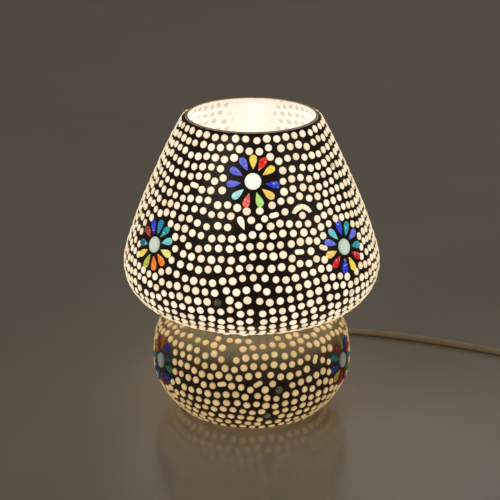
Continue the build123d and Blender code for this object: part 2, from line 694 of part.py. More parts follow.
def switch_cover():
    """The upper half: the rocker's opening, the ribs that carry its pins, and two screw posts."""
    ceiling = SWITCH_HEIGHT - SWITCH_WALL
    cover = switch_block(0, SWITCH_AXIS_HEIGHT, SWITCH_HEIGHT)
    cover = chamfer(cover.faces().sort_by(Axis.Z)[-1].edges(), SWITCH_WALL / 2)
    cover -= switch_block(SWITCH_WALL, SWITCH_AXIS_HEIGHT, ceiling)
    cover -= Pos(0, 0, SWITCH_HEIGHT) * Box(*ROCKER_OPENING, 4 * SWITCH_WALL)
    for side in (-1, 1):
        rib = Box(
            RIB_LENGTH, RIB_THICKNESS, ceiling - RIB_BOTTOM, align=(Align.CENTER, Align.CENTER, Align.MIN)
        )
        cover += Pos(0, side * (ROCKER_OPENING[1] + RIB_THICKNESS) / 2, RIB_BOTTOM) * rib
        post = Pos(side * SWITCH_SCREW_X, 0, 0) * disc(SWITCH_POST_RADIUS, SWITCH_AXIS_HEIGHT, ceiling)
        cover += post
        cover -= Pos(side * SWITCH_SCREW_X, 0, 0) * disc(
            SWITCH_SCREW_RADIUS, SWITCH_AXIS_HEIGHT, SWITCH_WALL + SWITCH_SCREW_LENGTH
        )
    bore = Cylinder(ROCKER_PIN_RADIUS + ROCKER_PIN_CLEARANCE, ROCKER_OPENING[1] + 2 * RIB_THICKNESS)
    return cover - Pos(0, 0, ROCKER_PIVOT_HEIGHT) * Rot(90, 0, 0) * bore


def switch_rocker():
    """The rocker on its two pins, tilted to the on position."""
    outline = Polyline(*[(along, 0, up) for along, up in ROCKER_OUTLINE], close=True)
    block = extrude(make_face(outline), ROCKER_HALF_WIDTH, dir=(0, 1, 0), both=True)
    pins = Rot(90, 0, 0) * Cylinder(ROCKER_PIN_RADIUS, 2 * ROCKER_PIN_REACH)
    return Pos(0, 0, ROCKER_PIVOT_HEIGHT) * Rot(0, ROCKER_TILT, 0) * (block + pins)


def switch_contacts():
    """Two brass strips under the rocker."""
    strips = []
    for side in (-1, 1):
        foot = Pos(side * STRIP_FOOT_X, 0, SWITCH_WALL) * Box(
            STRIP_FOOT_LENGTH, STRIP_WIDTH, STRIP_THICKNESS, align=(Align.CENTER, Align.CENTER, Align.MIN)
        )
        upright = Pos(side * STRIP_UPRIGHT_X, 0, SWITCH_WALL) * Box(
            STRIP_THICKNESS, STRIP_WIDTH, STRIP_UPRIGHT_HEIGHT, align=(Align.CENTER, Align.CENTER, Align.MIN)
        )
        strips.append(foot + upright)
    return Compound(children=strips)


def switch_screws():
    """The two screws that close the switch."""
    screws = []
    for side in (-1, 1):
        head = disc(SWITCH_SCREW_HEAD_RADIUS, SWITCH_SCREW_RECESS, SWITCH_WALL)
        shank = disc(SWITCH_SCREW_RADIUS, SWITCH_WALL, SWITCH_WALL + SWITCH_SCREW_LENGTH)
        slot = Pos(0, 0, SWITCH_SCREW_RECESS) * Box(
            2 * SWITCH_SCREW_HEAD_RADIUS, SCREW_SLOT, 2 * SCREW_SLOT_DEPTH
        )
        screws.append(Pos(side * SWITCH_SCREW_X, 0, 0) * (head + shank - slot))
    return Compound(children=screws)


# ---------------------------------------------------------------- plug
def plug_place(shape):
    """Move a piece from the plug's own axes to its place on the cord: the pins point along -X."""
    return Pos(*PLUG_END) * Rot(0, 0, 180) * shape


def plug_relief():
    """The tapered strain relief with its ring grooves."""
    relief = Rot(0, 90, 0) * Cone(
        RELIEF_THIN_RADIUS, RELIEF_THICK_RADIUS, RELIEF_LENGTH, align=(Align.CENTER, Align.CENTER, Align.MIN)
    )
    for k in range(RELIEF_GROOVES):
        start = RELIEF_LENGTH * (k + RELIEF_GROOVE_MARGIN) / (RELIEF_GROOVES + RELIEF_GROOVE_MARGIN)
        groove = rod_along_x(RELIEF_THICK_RADIUS + OVERRUN, start, start + RELIEF_GROOVE_WIDTH)
        relief -= groove - rod_along_x(CORD_RADIUS + RELIEF_CORE_WALL, start, start + RELIEF_GROOVE_WIDTH)
    return relief


def plug_section(position, width, thickness):
    """One rounded section across the plug."""
    outline = RectangleRounded(thickness, width, thickness * PLUG_CORNER_SHARE)
    return Pos(position, 0, 0) * Rot(0, 90, 0) * outline


def plug_body():
    """The moulded body: a shoulder that widens to a flat block, with blind holes for the pins."""
    shoulder = loft([
        plug_section(RELIEF_LENGTH, PLUG_NECK_WIDTH, PLUG_NECK_THICKNESS),
        plug_section(RELIEF_LENGTH + PLUG_SHOULDER, PLUG_WIDTH, PLUG_THICKNESS),
    ])
    block = extrude(
        plug_section(RELIEF_LENGTH + PLUG_SHOULDER, PLUG_WIDTH, PLUG_THICKNESS),
        PLUG_BODY_LENGTH - PLUG_SHOULDER,
        dir=(1, 0, 0),
    )
    body = shoulder + block
    face = RELIEF_LENGTH + PLUG_BODY_LENGTH
    for side in (-1, 1):
        body -= rod_along_x(PIN_CORE_RADIUS, face - PIN_SOCKET_DEPTH, face, side * PIN_SPACING / 2)
    return body


def plug_pins():
    """Two brass pins: a thin core under the sleeve and a full-size end."""
    face = RELIEF_LENGTH + PLUG_BODY_LENGTH
    pins = []
    for side in (-1, 1):
        offset = side * PIN_SPACING / 2
        core = rod_along_x(PIN_CORE_RADIUS, face - PIN_SOCKET_DEPTH, face + PIN_SLEEVE_LENGTH, offset)
        end = rod_along_x(PIN_RADIUS, face + PIN_SLEEVE_LENGTH, face + PIN_LENGTH, offset)
        end = chamfer(end.faces().sort_by(Axis.X)[-1].edges(), PIN_TIP_CHAMFER)
        pins.append(core + end)
    return Compound(children=pins)


def pin_sleeves():
    """The insulating sleeve on each pin, flush with the pin's bare end."""
    face = RELIEF_LENGTH + PLUG_BODY_LENGTH
    sleeves = []
    for side in (-1, 1):
        sleeve = rod_along_x(PIN_RADIUS, face, face + PIN_SLEEVE_LENGTH, side * PIN_SPACING / 2)
        core = rod_along_x(PIN_CORE_RADIUS, face, face + PIN_SLEEVE_LENGTH, side * PIN_SPACING / 2)
        sleeves.append(sleeve - core)
    return Compound(children=sleeves)


# ---------------------------------------------------------------- build: glass, grout and flowers
cord_hole = along_grommet(GROMMET_HOLE_RADIUS, -GROMMET_INWARD, GROMMET_OUTWARD + OVERRUN)
glass = lamp_glass() - cord_hole
grout = grout_coat() - cord_hole
above_waist = Pos(0, 0, WAIST_HEIGHT) * Box(*HALF_SPACE, align=(Align.CENTER, Align.CENTER, Align.MIN))
save("glass_dome", glass & above_waist)
save("glass_bowl", glass - above_waist)
save("rim_line", ring(RIM_INNER_RADIUS, RIM_OUTER_RADIUS, RIM_TOP, RIM_TOP + RIM_LINE_HEIGHT))
save("cord_grommet", grommet(glass, grout))

layer = petal_layer()
all_prisms = []
flower_groups = {"high": HIGH_FLOWERS, "low": LOW_FLOWERS, "bowl": BOWL_FLOWERS}
for group, flowers in flower_groups.items():
    for number, (bearing, height) in enumerate(flowers, start=1):
        petal_prisms, centre_prism = flower_prisms(bearing, height)
        petals = [(prism & layer).solid() for prism in petal_prisms]
        save(f"petals_{group}_{number}", Compound(children=petals))
        save(f"flower_centre_{group}_{number}", (centre_prism & layer).solid())
        all_prisms += [*petal_prisms, centre_prism]

coat = grout - all_prisms
save("grout_dome", coat & above_waist)
save("grout_bowl", coat - above_waist)

feet = []
for k in range(FOOT_COUNT):
    place = heading(45 + k * 360 / FOOT_COUNT) * FOOT_CIRCLE_RADIUS
    foot = Pos(place.X, place.Y, 0) * disc(FOOT_RADIUS, 0, BASE_UNDERSIDE)
    feet.append(chamfer(foot.faces().sort_by(Axis.Z)[0].edges(), FOOT_CHAMFER))
save("rubber_feet", Compound(children=feet))

# ---------------------------------------------------------------- build: fixings and holder
punt_top = PUNT_UNDERSIDE + PUNT_THICKNESS
steel_low = PUNT_UNDERSIDE - RUBBER_WASHER_HEIGHT - STEEL_WASHER_HEIGHT
steel_high = punt_top + RUBBER_WASHER_HEIGHT
save("threaded_tube", ring(TUBE_BORE_RADIUS, TUBE_RADIUS, TUBE_BOTTOM, TUBE_TOP))
save("rubber_washers", Compound(children=[
    ring(TUBE_RADIUS, WASHER_RADIUS, PUNT_UNDERSIDE - RUBBER_WASHER_HEIGHT, PUNT_UNDERSIDE),
    ring(TUBE_RADIUS, WASHER_RADIUS, punt_top, punt_top + RUBBER_WASHER_HEIGHT),
]))
save("steel_washers", Compound(children=[
    ring(TUBE_RADIUS, WASHER_RADIUS, steel_low, steel_low + STEEL_WASHER_HEIGHT),
    ring(TUBE_RADIUS, WASHER_RADIUS, steel_high, steel_high + STEEL_WASHER_HEIGHT),
]))
save("lock_nuts", Compound(children=[
    hex_nut(steel_low - NUT_HEIGHT),
    hex_nut(steel_high + STEEL_WASHER_HEIGHT),
]))
cap = holder_cap()
save("holder_cap", cap)
save("holder_skirt", holder_skirt())
save("holder_insert", holder_insert())
save("screw_shell", screw_shell())
save("centre_contact", centre_contact())
save("terminal_screws", Compound(children=[terminal_screw(-1), terminal_screw(1)]))
save("cord_bushing", cord_bushing(cap))
save("holder_leads", leads())

# ---------------------------------------------------------------- build: bulb
save("bulb_globe", bulb_globe())
save("bulb_cap", bulb_cap())
save("bulb_insulator", bulb_insulator())
save("bulb_contact", disc(BULB_CONTACT_RADIUS, CONTACT_TOP, CONTACT_TOP + BULB_CONTACT_HEIGHT))
save("bulb_stem", bulb_stem())
save("bulb_filaments", bulb_filaments())

# ---------------------------------------------------------------- build: cord, switch and plug
save("cord_inside", cord_tube("cord inside", INNER_ROUTE, CORD_RADIUS))
save("cord_lamp_run", cord_tube("cord to the switch", LAMP_ROUTE, CORD_RADIUS))
save("cord_switch_run", cord_tube("cord to the coil", SWITCH_ROUTE, CORD_RADIUS))
save("cord_plug_run", cord_tube("cord to the plug", PLUG_ROUTE, CORD_RADIUS))
save("cord_coil", cord_coil())
save("switch_base", switch_place(switch_base()))
save("switch_cover", switch_place(switch_cover()))
save("switch_rocker", switch_place(switch_rocker()))
save("switch_contacts", switch_place(switch_contacts()))
save("switch_screws", switch_place(switch_screws()))
save("plug_body", plug_place(plug_body()))
save("plug_relief", plug_place(plug_relief()))
save("plug_pins", plug_place(plug_pins()))
save("plug_pin_sleeves", plug_place(pin_sleeves()))
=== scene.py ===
"""The looks of a mosaic glass table lamp, built round its CAD frame. Metres; +Z up, -Y the front."""

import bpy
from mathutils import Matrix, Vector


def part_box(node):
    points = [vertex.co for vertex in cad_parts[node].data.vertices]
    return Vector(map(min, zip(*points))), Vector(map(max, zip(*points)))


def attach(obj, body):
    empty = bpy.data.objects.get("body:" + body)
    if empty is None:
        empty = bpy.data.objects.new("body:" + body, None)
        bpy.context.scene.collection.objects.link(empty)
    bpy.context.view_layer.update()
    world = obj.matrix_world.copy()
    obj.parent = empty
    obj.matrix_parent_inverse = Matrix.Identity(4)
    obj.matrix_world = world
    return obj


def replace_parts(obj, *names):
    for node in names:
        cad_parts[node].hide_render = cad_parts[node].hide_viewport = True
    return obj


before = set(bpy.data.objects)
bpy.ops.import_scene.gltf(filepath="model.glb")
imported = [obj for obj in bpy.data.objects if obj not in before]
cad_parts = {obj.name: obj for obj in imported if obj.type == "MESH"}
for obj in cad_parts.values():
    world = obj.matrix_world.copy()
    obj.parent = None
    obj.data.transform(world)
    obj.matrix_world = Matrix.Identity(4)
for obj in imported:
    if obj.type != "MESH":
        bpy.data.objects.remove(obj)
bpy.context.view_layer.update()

import math
import random

import bmesh
import bpy
import numpy as np
from mathutils import Vector
from mathutils.bvhtree import BVHTree
from mathutils.kdtree import KDTree

MM = 0.001

# ---- camera ----
CAMERA_DISTANCE = 1.1
CAMERA_HEIGHT = 0.519
CAMERA_PITCH = 20.08
CAMERA_LENS = 119.4
CAMERA_SIDE = -0.0012
SENSOR_WIDTH = 36
LIGHT_AIM = Vector((0, 0, 0.1))

# ---- cord: the same route as the CAD tube ----
CORD_DIAMETER = 0.005
CORD_ON_TABLE = 2.6 * MM
GROMMET_POINT = Vector((0, 61.3, 13.4)) * MM
GROMMET_SLOPE = math.radians(36.3)
GROMMET_OUTWARD = 3.0 * MM
SWITCH_HEADING = math.radians(-20)
SWITCH_APPROACH = Vector((217.0, 72.5, 5.5)) * MM
SWITCH_END_RUN = 17.0 * MM
SWITCH_LENGTH = 60.0 * MM
COIL_CENTRE = Vector((306.2, -8.5, 0)) * MM
COIL_ENTRY_ANGLE = 40.0
COIL_TURNS = 7 + 70 / 360
COIL_POINTS_PER_TURN = 14
COIL_OUTER = 35.0 * MM
COIL_INNER = 20.0 * MM
COIL_LAST = 39.3 * MM
COIL_LAYER_RISE = 5.1 * MM
COIL_CROSSING_DIP = 1.0 * MM
COIL_STEP_OUT = 3.0 * MM
# Turns at which the low layer ends, the top layer starts, the top layer ends and the way down starts
COIL_LOW_END, COIL_TOP_START, COIL_TOP_END, COIL_DOWN_START = 3, 3.4, 6.4, 7

# ---- mosaic ----
DISC_RADIUS = 2.5 * MM
DISC_PITCH = 6.95 * MM
ROW_PITCH = 7.1 * MM
FIRST_ROW = 2.3 * MM
LAST_ROW = 4.5 * MM
WAIST_GAP = 3.4 * MM
# Share that darkens the petals on the bowl: painted shade.
BOWL_PETAL_PAINTED_SHADE = 0.2
FLOWER_CLEAR = 20.2 * MM
CROWDED = 6.75 * MM
GAP = 5.85 * MM
FLOWER_CENTRE_RADIUS = 5.45 * MM
DISC_SEGMENTS = 16
PLACE_JITTER = 0.8 * MM
GAP_SEARCH_ACROSS = 1.2 * MM
GAP_SEARCH_DOWN = 1.4 * MM
WAIST_HEIGHT = 73.2 * MM
DOME_SPLIT_HEIGHT = 0.150
BOWL_SPLIT_HEIGHT = 0.038
PETAL_REACH = 12.8
PETAL_LENGTH = 9.8
PETAL_WIDTH = 5.9
PETAL_LIFT = 0.25 * MM
CENTRE_LIFT = 0.3 * MM

# ---- grout skin ----
GROUT_SINK = 0.15 * MM
GROUT_SWELL = 0.06 * MM
GROUT_EDGE_DEPTH = 2.4 * MM
SKIN_ROW = 1.1 * MM
SKIN_POINTS_AROUND = 520

# ---- floor ----
FLOOR_HALF_SIZE = 6.0

# Odd pieces among the discs: kind, bearing in degrees, height in millimetres and turn in degrees
ODD_PIECES = [
    ("teardrop", -5.2, 162.0, 24), ("arc", 27.6, 164.6, -4), ("capsule", 11.8, 166.8, 10),
    ("capsule", -36.1, 181.8, -8), ("capsule", 22.8, 142.8, -6), ("capsule", 35.9, 142.6, -24),
    ("capsule", 3.5, 45.0, 28), ("capsule", 39.7, 56.1, 62), ("capsule", -17.0, 43.7, 12),
    ("clear", -14.6, 111.6, 0), ("clear", -13.7, 64.3, 0), ("clear", 15.5, 39.6, 0), ("clear", 9.5, 18.3, 0),
    ("capsule", 96.0, 150.0, 20), ("capsule", -128.0, 131.0, -15), ("clear", 141.0, 158.0, 0),
    ("capsule", 168.0, 176.0, 40), ("clear", -95.0, 120.0, 0), ("capsule", 120.0, 38.0, -30),
    ("clear", -150.0, 52.0, 0),
]
# Where an odd piece keeps the discs away, in millimetres across and up from its middle
ODD_FOOTPRINT = {
    "teardrop": [(0, 2.6), (0, -2.6)], "capsule": [(0, 0)], "clear": [(0, 0)],
    "arc": [(0, 0), (6.0, 0.6), (4.5, 4.4), (0, 6.2), (-4.5, 4.4), (-6.0, 0.6)],
}

rng = random.Random(11)


# ---------------------------------------------------------------- camera, light and floor
def make_camera():
    """The camera at the reference viewing angle."""
    data = bpy.data.cameras.new("camera")
    data.lens = CAMERA_LENS
    data.sensor_width = SENSOR_WIDTH
    camera = bpy.data.objects.new("camera", data)
    camera.location = (CAMERA_SIDE, -CAMERA_DISTANCE, CAMERA_HEIGHT)
    camera.rotation_euler = (math.radians(90 - CAMERA_PITCH), 0, 0)
    bpy.context.scene.collection.objects.link(camera)
    bpy.context.scene.camera = camera


def area_light(name, place, size, power, colour):
    """A soft square lamp aimed at the object."""
    data = bpy.data.lights.new(name, "AREA")
    data.size = size
    data.energy = power
    data.color = colour
    light = bpy.data.objects.new(name, data)
    light.location = place
    light.rotation_euler = (LIGHT_AIM - Vector(place)).to_track_quat("-Z", "Y").to_euler()
    bpy.context.scene.collection.objects.link(light)


def link(piece):
    """Put a new object in the scene."""
    bpy.context.scene.collection.objects.link(piece)
    return piece


make_camera()
area_light("key_light", (-1.2, -1.3, 1.6), 1.4, 4.4, (1.0, 0.93, 0.83))
area_light("fill_light", (1.5, -0.8, 1.1), 1.6, 2.0, (1.0, 0.95, 0.88))
area_light("back_light", (0.3, 1.6, 1.4), 1.2, 2.6, (1.0, 0.93, 0.84))

world = bpy.data.worlds.new("studio")
world.use_nodes = True
world.node_tree.nodes["Background"].inputs["Color"].default_value = (0.33, 0.30, 0.26, 1)
world.node_tree.nodes["Background"].inputs["Strength"].default_value = 0.18
bpy.context.scene.world = world
bpy.context.scene.view_settings.view_transform = "Standard"


# ---------------------------------------------------------------- the cord
def direction(angle):
    """A level unit vector, anticlockwise from +X."""
    return Vector((math.cos(angle), math.sin(angle), 0))


def smooth_step(share):
    """An ease from 0 to 1."""
    share = min(max(share, 0.0), 1.0)
    return share * share * (3 - 2 * share)


def coil_layer(turn):
    """Radius and height of the coiled cord after so many turns: in on the table, out on top, then down."""
    low, high = CORD_ON_TABLE, CORD_ON_TABLE + COIL_LAYER_RISE
    if turn < COIL_LOW_END:
        return COIL_OUTER - CORD_DIAMETER * turn, low
    if turn < COIL_TOP_START:
        share = (turn - COIL_LOW_END) / (COIL_TOP_START - COIL_LOW_END)
        dip = COIL_CROSSING_DIP * math.sin(math.pi * share)
        return COIL_INNER - dip, low + (high - low) * smooth_step(share)
    if turn < COIL_TOP_END:
        return COIL_INNER + CORD_DIAMETER * (turn - COIL_TOP_START), high
    if turn < COIL_DOWN_START:
        share = (turn - COIL_TOP_END) / (COIL_DOWN_START - COIL_TOP_END)
        return COIL_OUTER + COIL_STEP_OUT * share, high
    share = (turn - COIL_DOWN_START) / (COIL_TURNS - COIL_DOWN_START)
    start = COIL_OUTER + COIL_STEP_OUT
    return start + (COIL_LAST - start) * min(1, 2 * share), high + (low - high) * smooth_step(share)


def coil_points():
    """The put-away turns, clockwise from where the cord arrives to where it leaves."""
    points = []
    count = round(COIL_TURNS * COIL_POINTS_PER_TURN)
    for k in range(count + 1):
        turn = COIL_TURNS * k / count
        radius, height = coil_layer(turn)
        angle = math.radians(COIL_ENTRY_ANGLE) - 2 * math.pi * turn
        points.append(COIL_CENTRE + direction(angle) * radius + Vector((0, 0, height)))
    return points


def table_points(*pairs):
    """Points on the table from X and Y in millimetres."""
    return [Vector((x * MM, y * MM, CORD_ON_TABLE)) for x, y in pairs]


def cord_route():
    """The whole free cord, from the grommet to the plug."""
    axis = Vector((0, math.cos(GROMMET_SLOPE), -math.sin(GROMMET_SLOPE)))
    leave = GROMMET_POINT + axis * GROMMET_OUTWARD
    touchdown = leave + axis * ((leave.z - CORD_ON_TABLE) / math.sin(GROMMET_SLOPE))
    switch_start = SWITCH_APPROACH + direction(SWITCH_HEADING) * SWITCH_END_RUN
    switch_end = switch_start + direction(SWITCH_HEADING) * SWITCH_LENGTH
    return [
        leave,
        touchdown,
        *table_points((5, 100.5), (35, 125), (82, 125), (130, 110), (172, 92), (200, 78)),
        SWITCH_APPROACH,
        switch_start,
        switch_end,
        switch_end + direction(SWITCH_HEADING) * SWITCH_END_RUN,
        *table_points((323.5, 29.5)),
        *coil_points(),
        *table_points((327.5, -50.0), (313.0, -73.0)),
        Vector((290.0, -88.0, 7.0)) * MM,
        Vector((270.0, -88.0, 7.0)) * MM,
    ]


def make_cord():
    """The ivory two-core cord as one smooth tube; its points carry the radius, for true bounds."""
    route = cord_route()
    data = bpy.data.curves.new("table_cord", "CURVE")
    data.dimensions = "3D"
    data.bevel_depth = 1.0
    data.bevel_resolution = 4
    data.resolution_u = 6
    data.use_fill_caps = True
    spline = data.splines.new("NURBS")
    spline.points.add(len(route) - 1)
    for point, place in zip(spline.points, route):
        point.co = (*place, 1)
        point.radius = CORD_DIAMETER / 2
    spline.order_u = 3
    spline.use_endpoint_u = True
    cord = link(bpy.data.objects.new("table_cord", data))
    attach(cord, "lamp")
    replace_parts(cord, "cord_lamp_run", "cord_switch_run", "cord_coil", "cord_plug_run")
    return cord, route[0]


cord, cord_exit = make_cord()


# ---------------------------------------------------------------- material helpers
def start_material(name, **sockets):
    """A Principled material with its plain values set on the shader."""
    material = bpy.data.materials.new(name)
    material.use_nodes = True
    tree = material.node_tree
    shader = tree.nodes["Principled BSDF"]
    for socket, value in sockets.items():
        shader.inputs[socket.replace("_", " ")].default_value = value
    return material, tree, shader


def add_node(tree, kind, operation=None, **values):
    """A node with values set on its inputs by name."""
    node = tree.nodes.new(kind)
    if operation:
        node.operation = operation
    for name, value in values.items():
        node.inputs[name.replace("_", " ")].default_value = value
    return node


def object_place(tree):
    """Object coordinates, in metres."""
    return tree.nodes.new("ShaderNodeTexCoord").outputs["Object"]


def noise(tree, scale, detail=3.0, roughness=0.5):
    """A grey noise that turns over once in about 1/scale metres."""
    node = add_node(tree, "ShaderNodeTexNoise", Scale=scale, Detail=detail, Roughness=roughness)
    tree.links.new(object_place(tree), node.inputs["Vector"])
    return node.outputs["Fac"]


def ramp(tree, factor, *stops):
    """A colour ramp through (position, colour) stops."""
    node = tree.nodes.new("ShaderNodeValToRGB")
    elements = node.color_ramp.elements
    while len(elements) < len(stops):
        elements.new(0.5)
    for element, (position, colour) in zip(elements, stops):
        element.position = position
        element.color = (*colour, 1)
    tree.links.new(factor, node.inputs["Fac"])
    return node.outputs["Color"]


def mix_colour(tree, factor, first, second, blend="MIX"):
    """Two colours mixed by a factor; each may be a socket or a plain value."""
    node = tree.nodes.new("ShaderNodeMix")
    node.data_type = "RGBA"
    node.blend_type = blend
    for socket, value in (("Factor", factor), ("A", first), ("B", second)):
        place = [i for i in node.inputs if i.name == socket and i.enabled][0]
        if isinstance(value, bpy.types.NodeSocket):
            tree.links.new(value, place)
        else:
            place.default_value = (*value, 1) if isinstance(value, tuple) else value
    return [o for o in node.outputs if o.enabled][0]


def rescale(tree, value, low, high):
    """A 0 to 1 value moved to the range low to high."""
    node = add_node(tree, "ShaderNodeMapRange")
    node.inputs["To Min"].default_value = low
    node.inputs["To Max"].default_value = high
    tree.links.new(value, node.inputs["Value"])
    return node.outputs["Result"]


def add_bump(tree, shader, height, depth, edge=0.0):
    """A bump of a given depth in metres from a 0 to 1 height, over edges rounded by a given radius."""
    node = add_node(tree, "ShaderNodeBump", Strength=1.0, Distance=depth)
    tree.links.new(height, node.inputs["Height"])
    if edge:
        rounded = add_node(tree, "ShaderNodeBevel", Radius=edge)
        tree.links.new(rounded.outputs["Normal"], node.inputs["Normal"])
    tree.links.new(node.outputs["Normal"], shader.inputs["Normal"])


def vertex_value(tree, name, output="Fac"):
    """A value stored on the mesh's vertices."""
    node = tree.nodes.new("ShaderNodeAttribute")
    node.attribute_name = name
    return node.outputs[output]


def dress(piece, material):
    """Give a whole object one material."""
    piece.data.materials.clear()
    piece.data.materials.append(material)


def dress_nodes(material, *names):
    """Give carried-over CAD nodes one material."""
    for name in names:
        dress(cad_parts[name], material)


def moulded(name, colour, shade, roughness, grain=900.0, depth=0.02 * MM, coat=0.0):
    """Moulded plastic or rubber: faint cloudy colour, uneven gloss and a fine grain."""
    material, tree, shader = start_material(name, Coat_Weight=coat, Coat_Roughness=0.15)
    tree.links.new(ramp(tree, noise(tree, 90, 4), (0.3, shade), (0.7, colour)), shader.inputs["Base Color"])
    gloss = rescale(tree, noise(tree, 260, 4), roughness - 0.07, roughness + 0.07)
    tree.links.new(gloss, shader.inputs["Roughness"])
    add_bump(tree, shader, noise(tree, grain, 2), depth, edge=0.4 * MM)
    return material


def metal(name, colour, shade, roughness, streak=(1400.0, 1400.0, 90.0)):
    """Plated or rolled metal with fine drawn streaks and tarnish."""
    material, tree, shader = start_material(name, Metallic=1.0)
    mapping = add_node(tree, "ShaderNodeMapping", Scale=streak)
    tree.links.new(object_place(tree), mapping.inputs["Vector"])
    streaks = add_node(tree, "ShaderNodeTexNoise", Scale=1.0, Detail=3.0)
    tree.links.new(mapping.outputs["Vector"], streaks.inputs["Vector"])
    tarnish = ramp(tree, noise(tree, 240, 5), (0.35, shade), (0.65, colour))
    tree.links.new(tarnish, shader.inputs["Base Color"])
    tree.links.new(rescale(tree, streaks.outputs["Fac"], roughness - 0.1, roughness + 0.12),
                   shader.inputs["Roughness"])
    add_bump(tree, shader, streaks.outputs["Fac"], 0.01 * MM, edge=0.15 * MM)
    return material


# ---------------------------------------------------------------- mosaic surface, read from the CAD grout
def cad_outline():
    """Radius and height along the outside of the grout, evenly spaced from the rim to the base."""
    shape = bmesh.new()
    for name in ("grout_dome", "grout_bowl"):
        shape.from_mesh(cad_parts[name].data)
    tree = BVHTree.FromBMesh(shape)
    shape.free()
    top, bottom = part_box("grout_dome")[1].z - 0.5 * MM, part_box("grout_bowl")[0].z + 0.1 * MM
    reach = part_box("grout_dome")[1].x * 1.2
    heights = np.linspace(top, bottom, 900)
    hits = [tree.ray_cast(Vector((reach, 0, float(z))), Vector((-1, 0, 0)))[0] for z in heights]
    radii = np.array([hit.x for hit in hits])
    walked = np.concatenate([[0], np.cumsum(np.hypot(np.diff(radii), np.diff(heights)))])
    steps = np.linspace(0, walked[-1], int(walked[-1] / (0.25 * MM)))
    window = np.hanning(11) / np.hanning(11).sum()
    smooth = []
    for values in (radii, heights):
        even = np.interp(steps, walked, values)
        padded = np.concatenate([2 * even[0] - even[5:0:-1], even, 2 * even[-1] - even[-2:-7:-1]])
        smooth.append(np.convolve(padded, window, "valid"))
    return steps, smooth[0], smooth[1]


steps, line_radius, line_height = cad_outline()
slope_radius, slope_height = np.gradient(line_radius, steps), np.gradient(line_height, steps)
waist_step = steps[np.argmin(np.where(line_height < 0.1, line_radius, 1) + (line_height < 0.05))]
line_length = steps[-1]


def on_surface(bearing, step, lift=0.0):
    """Points on the mosaic surface, and their outward, sideways and downward directions."""
    bearing, step = np.asarray(bearing, float), np.asarray(step, float)
    radius, height = np.interp(step, steps, line_radius), np.interp(step, steps, line_height)
    fall, drop = np.interp(step, steps, slope_radius), np.interp(step, steps, slope_height)
    size = np.hypot(fall, drop)
    fall, drop = fall / size, drop / size
    sine, cosine = np.sin(bearing), np.cos(bearing)
    none = np.zeros_like(bearing)
    outward = np.stack([-drop * sine, drop * cosine, fall], -1)
    sideways = np.stack([cosine, sine, none], -1)
    downward = np.stack([fall * sine, -fall * cosine, drop], -1)
    place = np.stack([radius * sine, -radius * cosine, height], -1)
    return place + outward * np.asarray(lift)[..., None], outward, sideways, downward


def step_at_height(height, below_waist):
    """The distance along the outline at a height, on the dome or on the bowl."""
    side = (steps > waist_step) == below_waist
    return steps[side][np.argmin(np.abs(line_height[side] - height))]


def flower_places():
    """Bearing and distance along the outline of each CAD flower's centre, by name."""
    places = {}
    for group in ("high", "low", "bowl"):
        for number in (1, 2, 3):
            low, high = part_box(f"flower_centre_{group}_{number}")
            middle = (low + high) / 2
            step = step_at_height(middle.z, group == "bowl")
            places[f"{group}_{number}"] = (math.atan2(middle.x, -middle.y), float(step))
    return places


flowers = flower_places()


def mesh_piece(name, vertices, faces, material, body="lamp", smooth=True, values=None):
    """A mesh object that rides on a body, with named values stored on its vertices."""
    mesh = bpy.data.meshes.new(name)
    mesh.from_pydata([tuple(v) for v in np.asarray(vertices).tolist()], [], faces)
    for key, data in (values or {}).items():
        data = np.asarray(data, np.float32)
        if data.ndim == 1:
            mesh.attributes.new(key, "FLOAT", "POINT").data.foreach_set("value", data)
        else:
            mesh.attributes.new(key, "FLOAT_COLOR", "POINT").data.foreach_set("color", data.ravel())
    mesh.polygons.foreach_set("use_smooth", [smooth] * len(mesh.polygons))
    mesh.update()
    piece = link(bpy.data.objects.new(name, mesh))
    dress(piece, material)
    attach(piece, body)
    return piece


# ---------------------------------------------------------------- layout of the discs
def row_wave(bearing, step):
    """How far the hand-laid rows wander up or down."""
    slow = 1.6 * math.sin(2 * bearing + 0.8 + step * 14) + 1.3 * math.sin(3 * bearing - 1.1 - step * 21)
    quick = 0.9 * math.sin(8 * bearing + step * 55)
    return (slow + quick) * MM


def laid_rows():
    """Disc places in loose rows: bearing and distance along the outline."""
    places = []
    phase = 0.0
    step = FIRST_ROW
    while step < line_length - LAST_ROW:
        radius = float(np.interp(step, steps, line_radius))
        count = round(2 * math.pi * radius / DISC_PITCH)
        phase += rng.uniform(0.05, 0.6) * DISC_PITCH / radius
        if abs(step - waist_step) > WAIST_GAP:
            for k in range(count):
                bearing = 2 * math.pi * k / count + phase + rng.gauss(0, PLACE_JITTER) / radius
                from_rim = (step - FIRST_ROW) / (4 * ROW_PITCH)
                from_base = (line_length - LAST_ROW - step) / (3 * ROW_PITCH)
                edge = min(1.0, from_rim, from_base)
                wander = row_wave(bearing, step) * max(edge, 0) + rng.gauss(0, PLACE_JITTER)
                places.append((bearing, step + wander))
        step += ROW_PITCH
    return places


def flower_distance(points):
    """Each point's distance to the nearest flower's centre, and the way out from it."""
    best = np.full(len(points), 1.0)
    away = np.zeros_like(points)
    for bearing, step in flowers.values():
        centre = on_surface(bearing, step)[0]
        offset = points - centre
        distance = np.linalg.norm(offset, axis=1)
        nearer = distance < best
        best[nearer] = distance[nearer]
        away[nearer] = offset[nearer] / distance[nearer, None]
    return best, away


def odd_places():
    """The odd pieces as kind, bearing, distance along the outline and turn."""
    places = []
    for kind, bearing, height, turn in ODD_PIECES:
        step = float(step_at_height(height * MM, height * MM < WAIST_HEIGHT))
        places.append((kind, math.radians(bearing), step, math.radians(turn)))
    return places


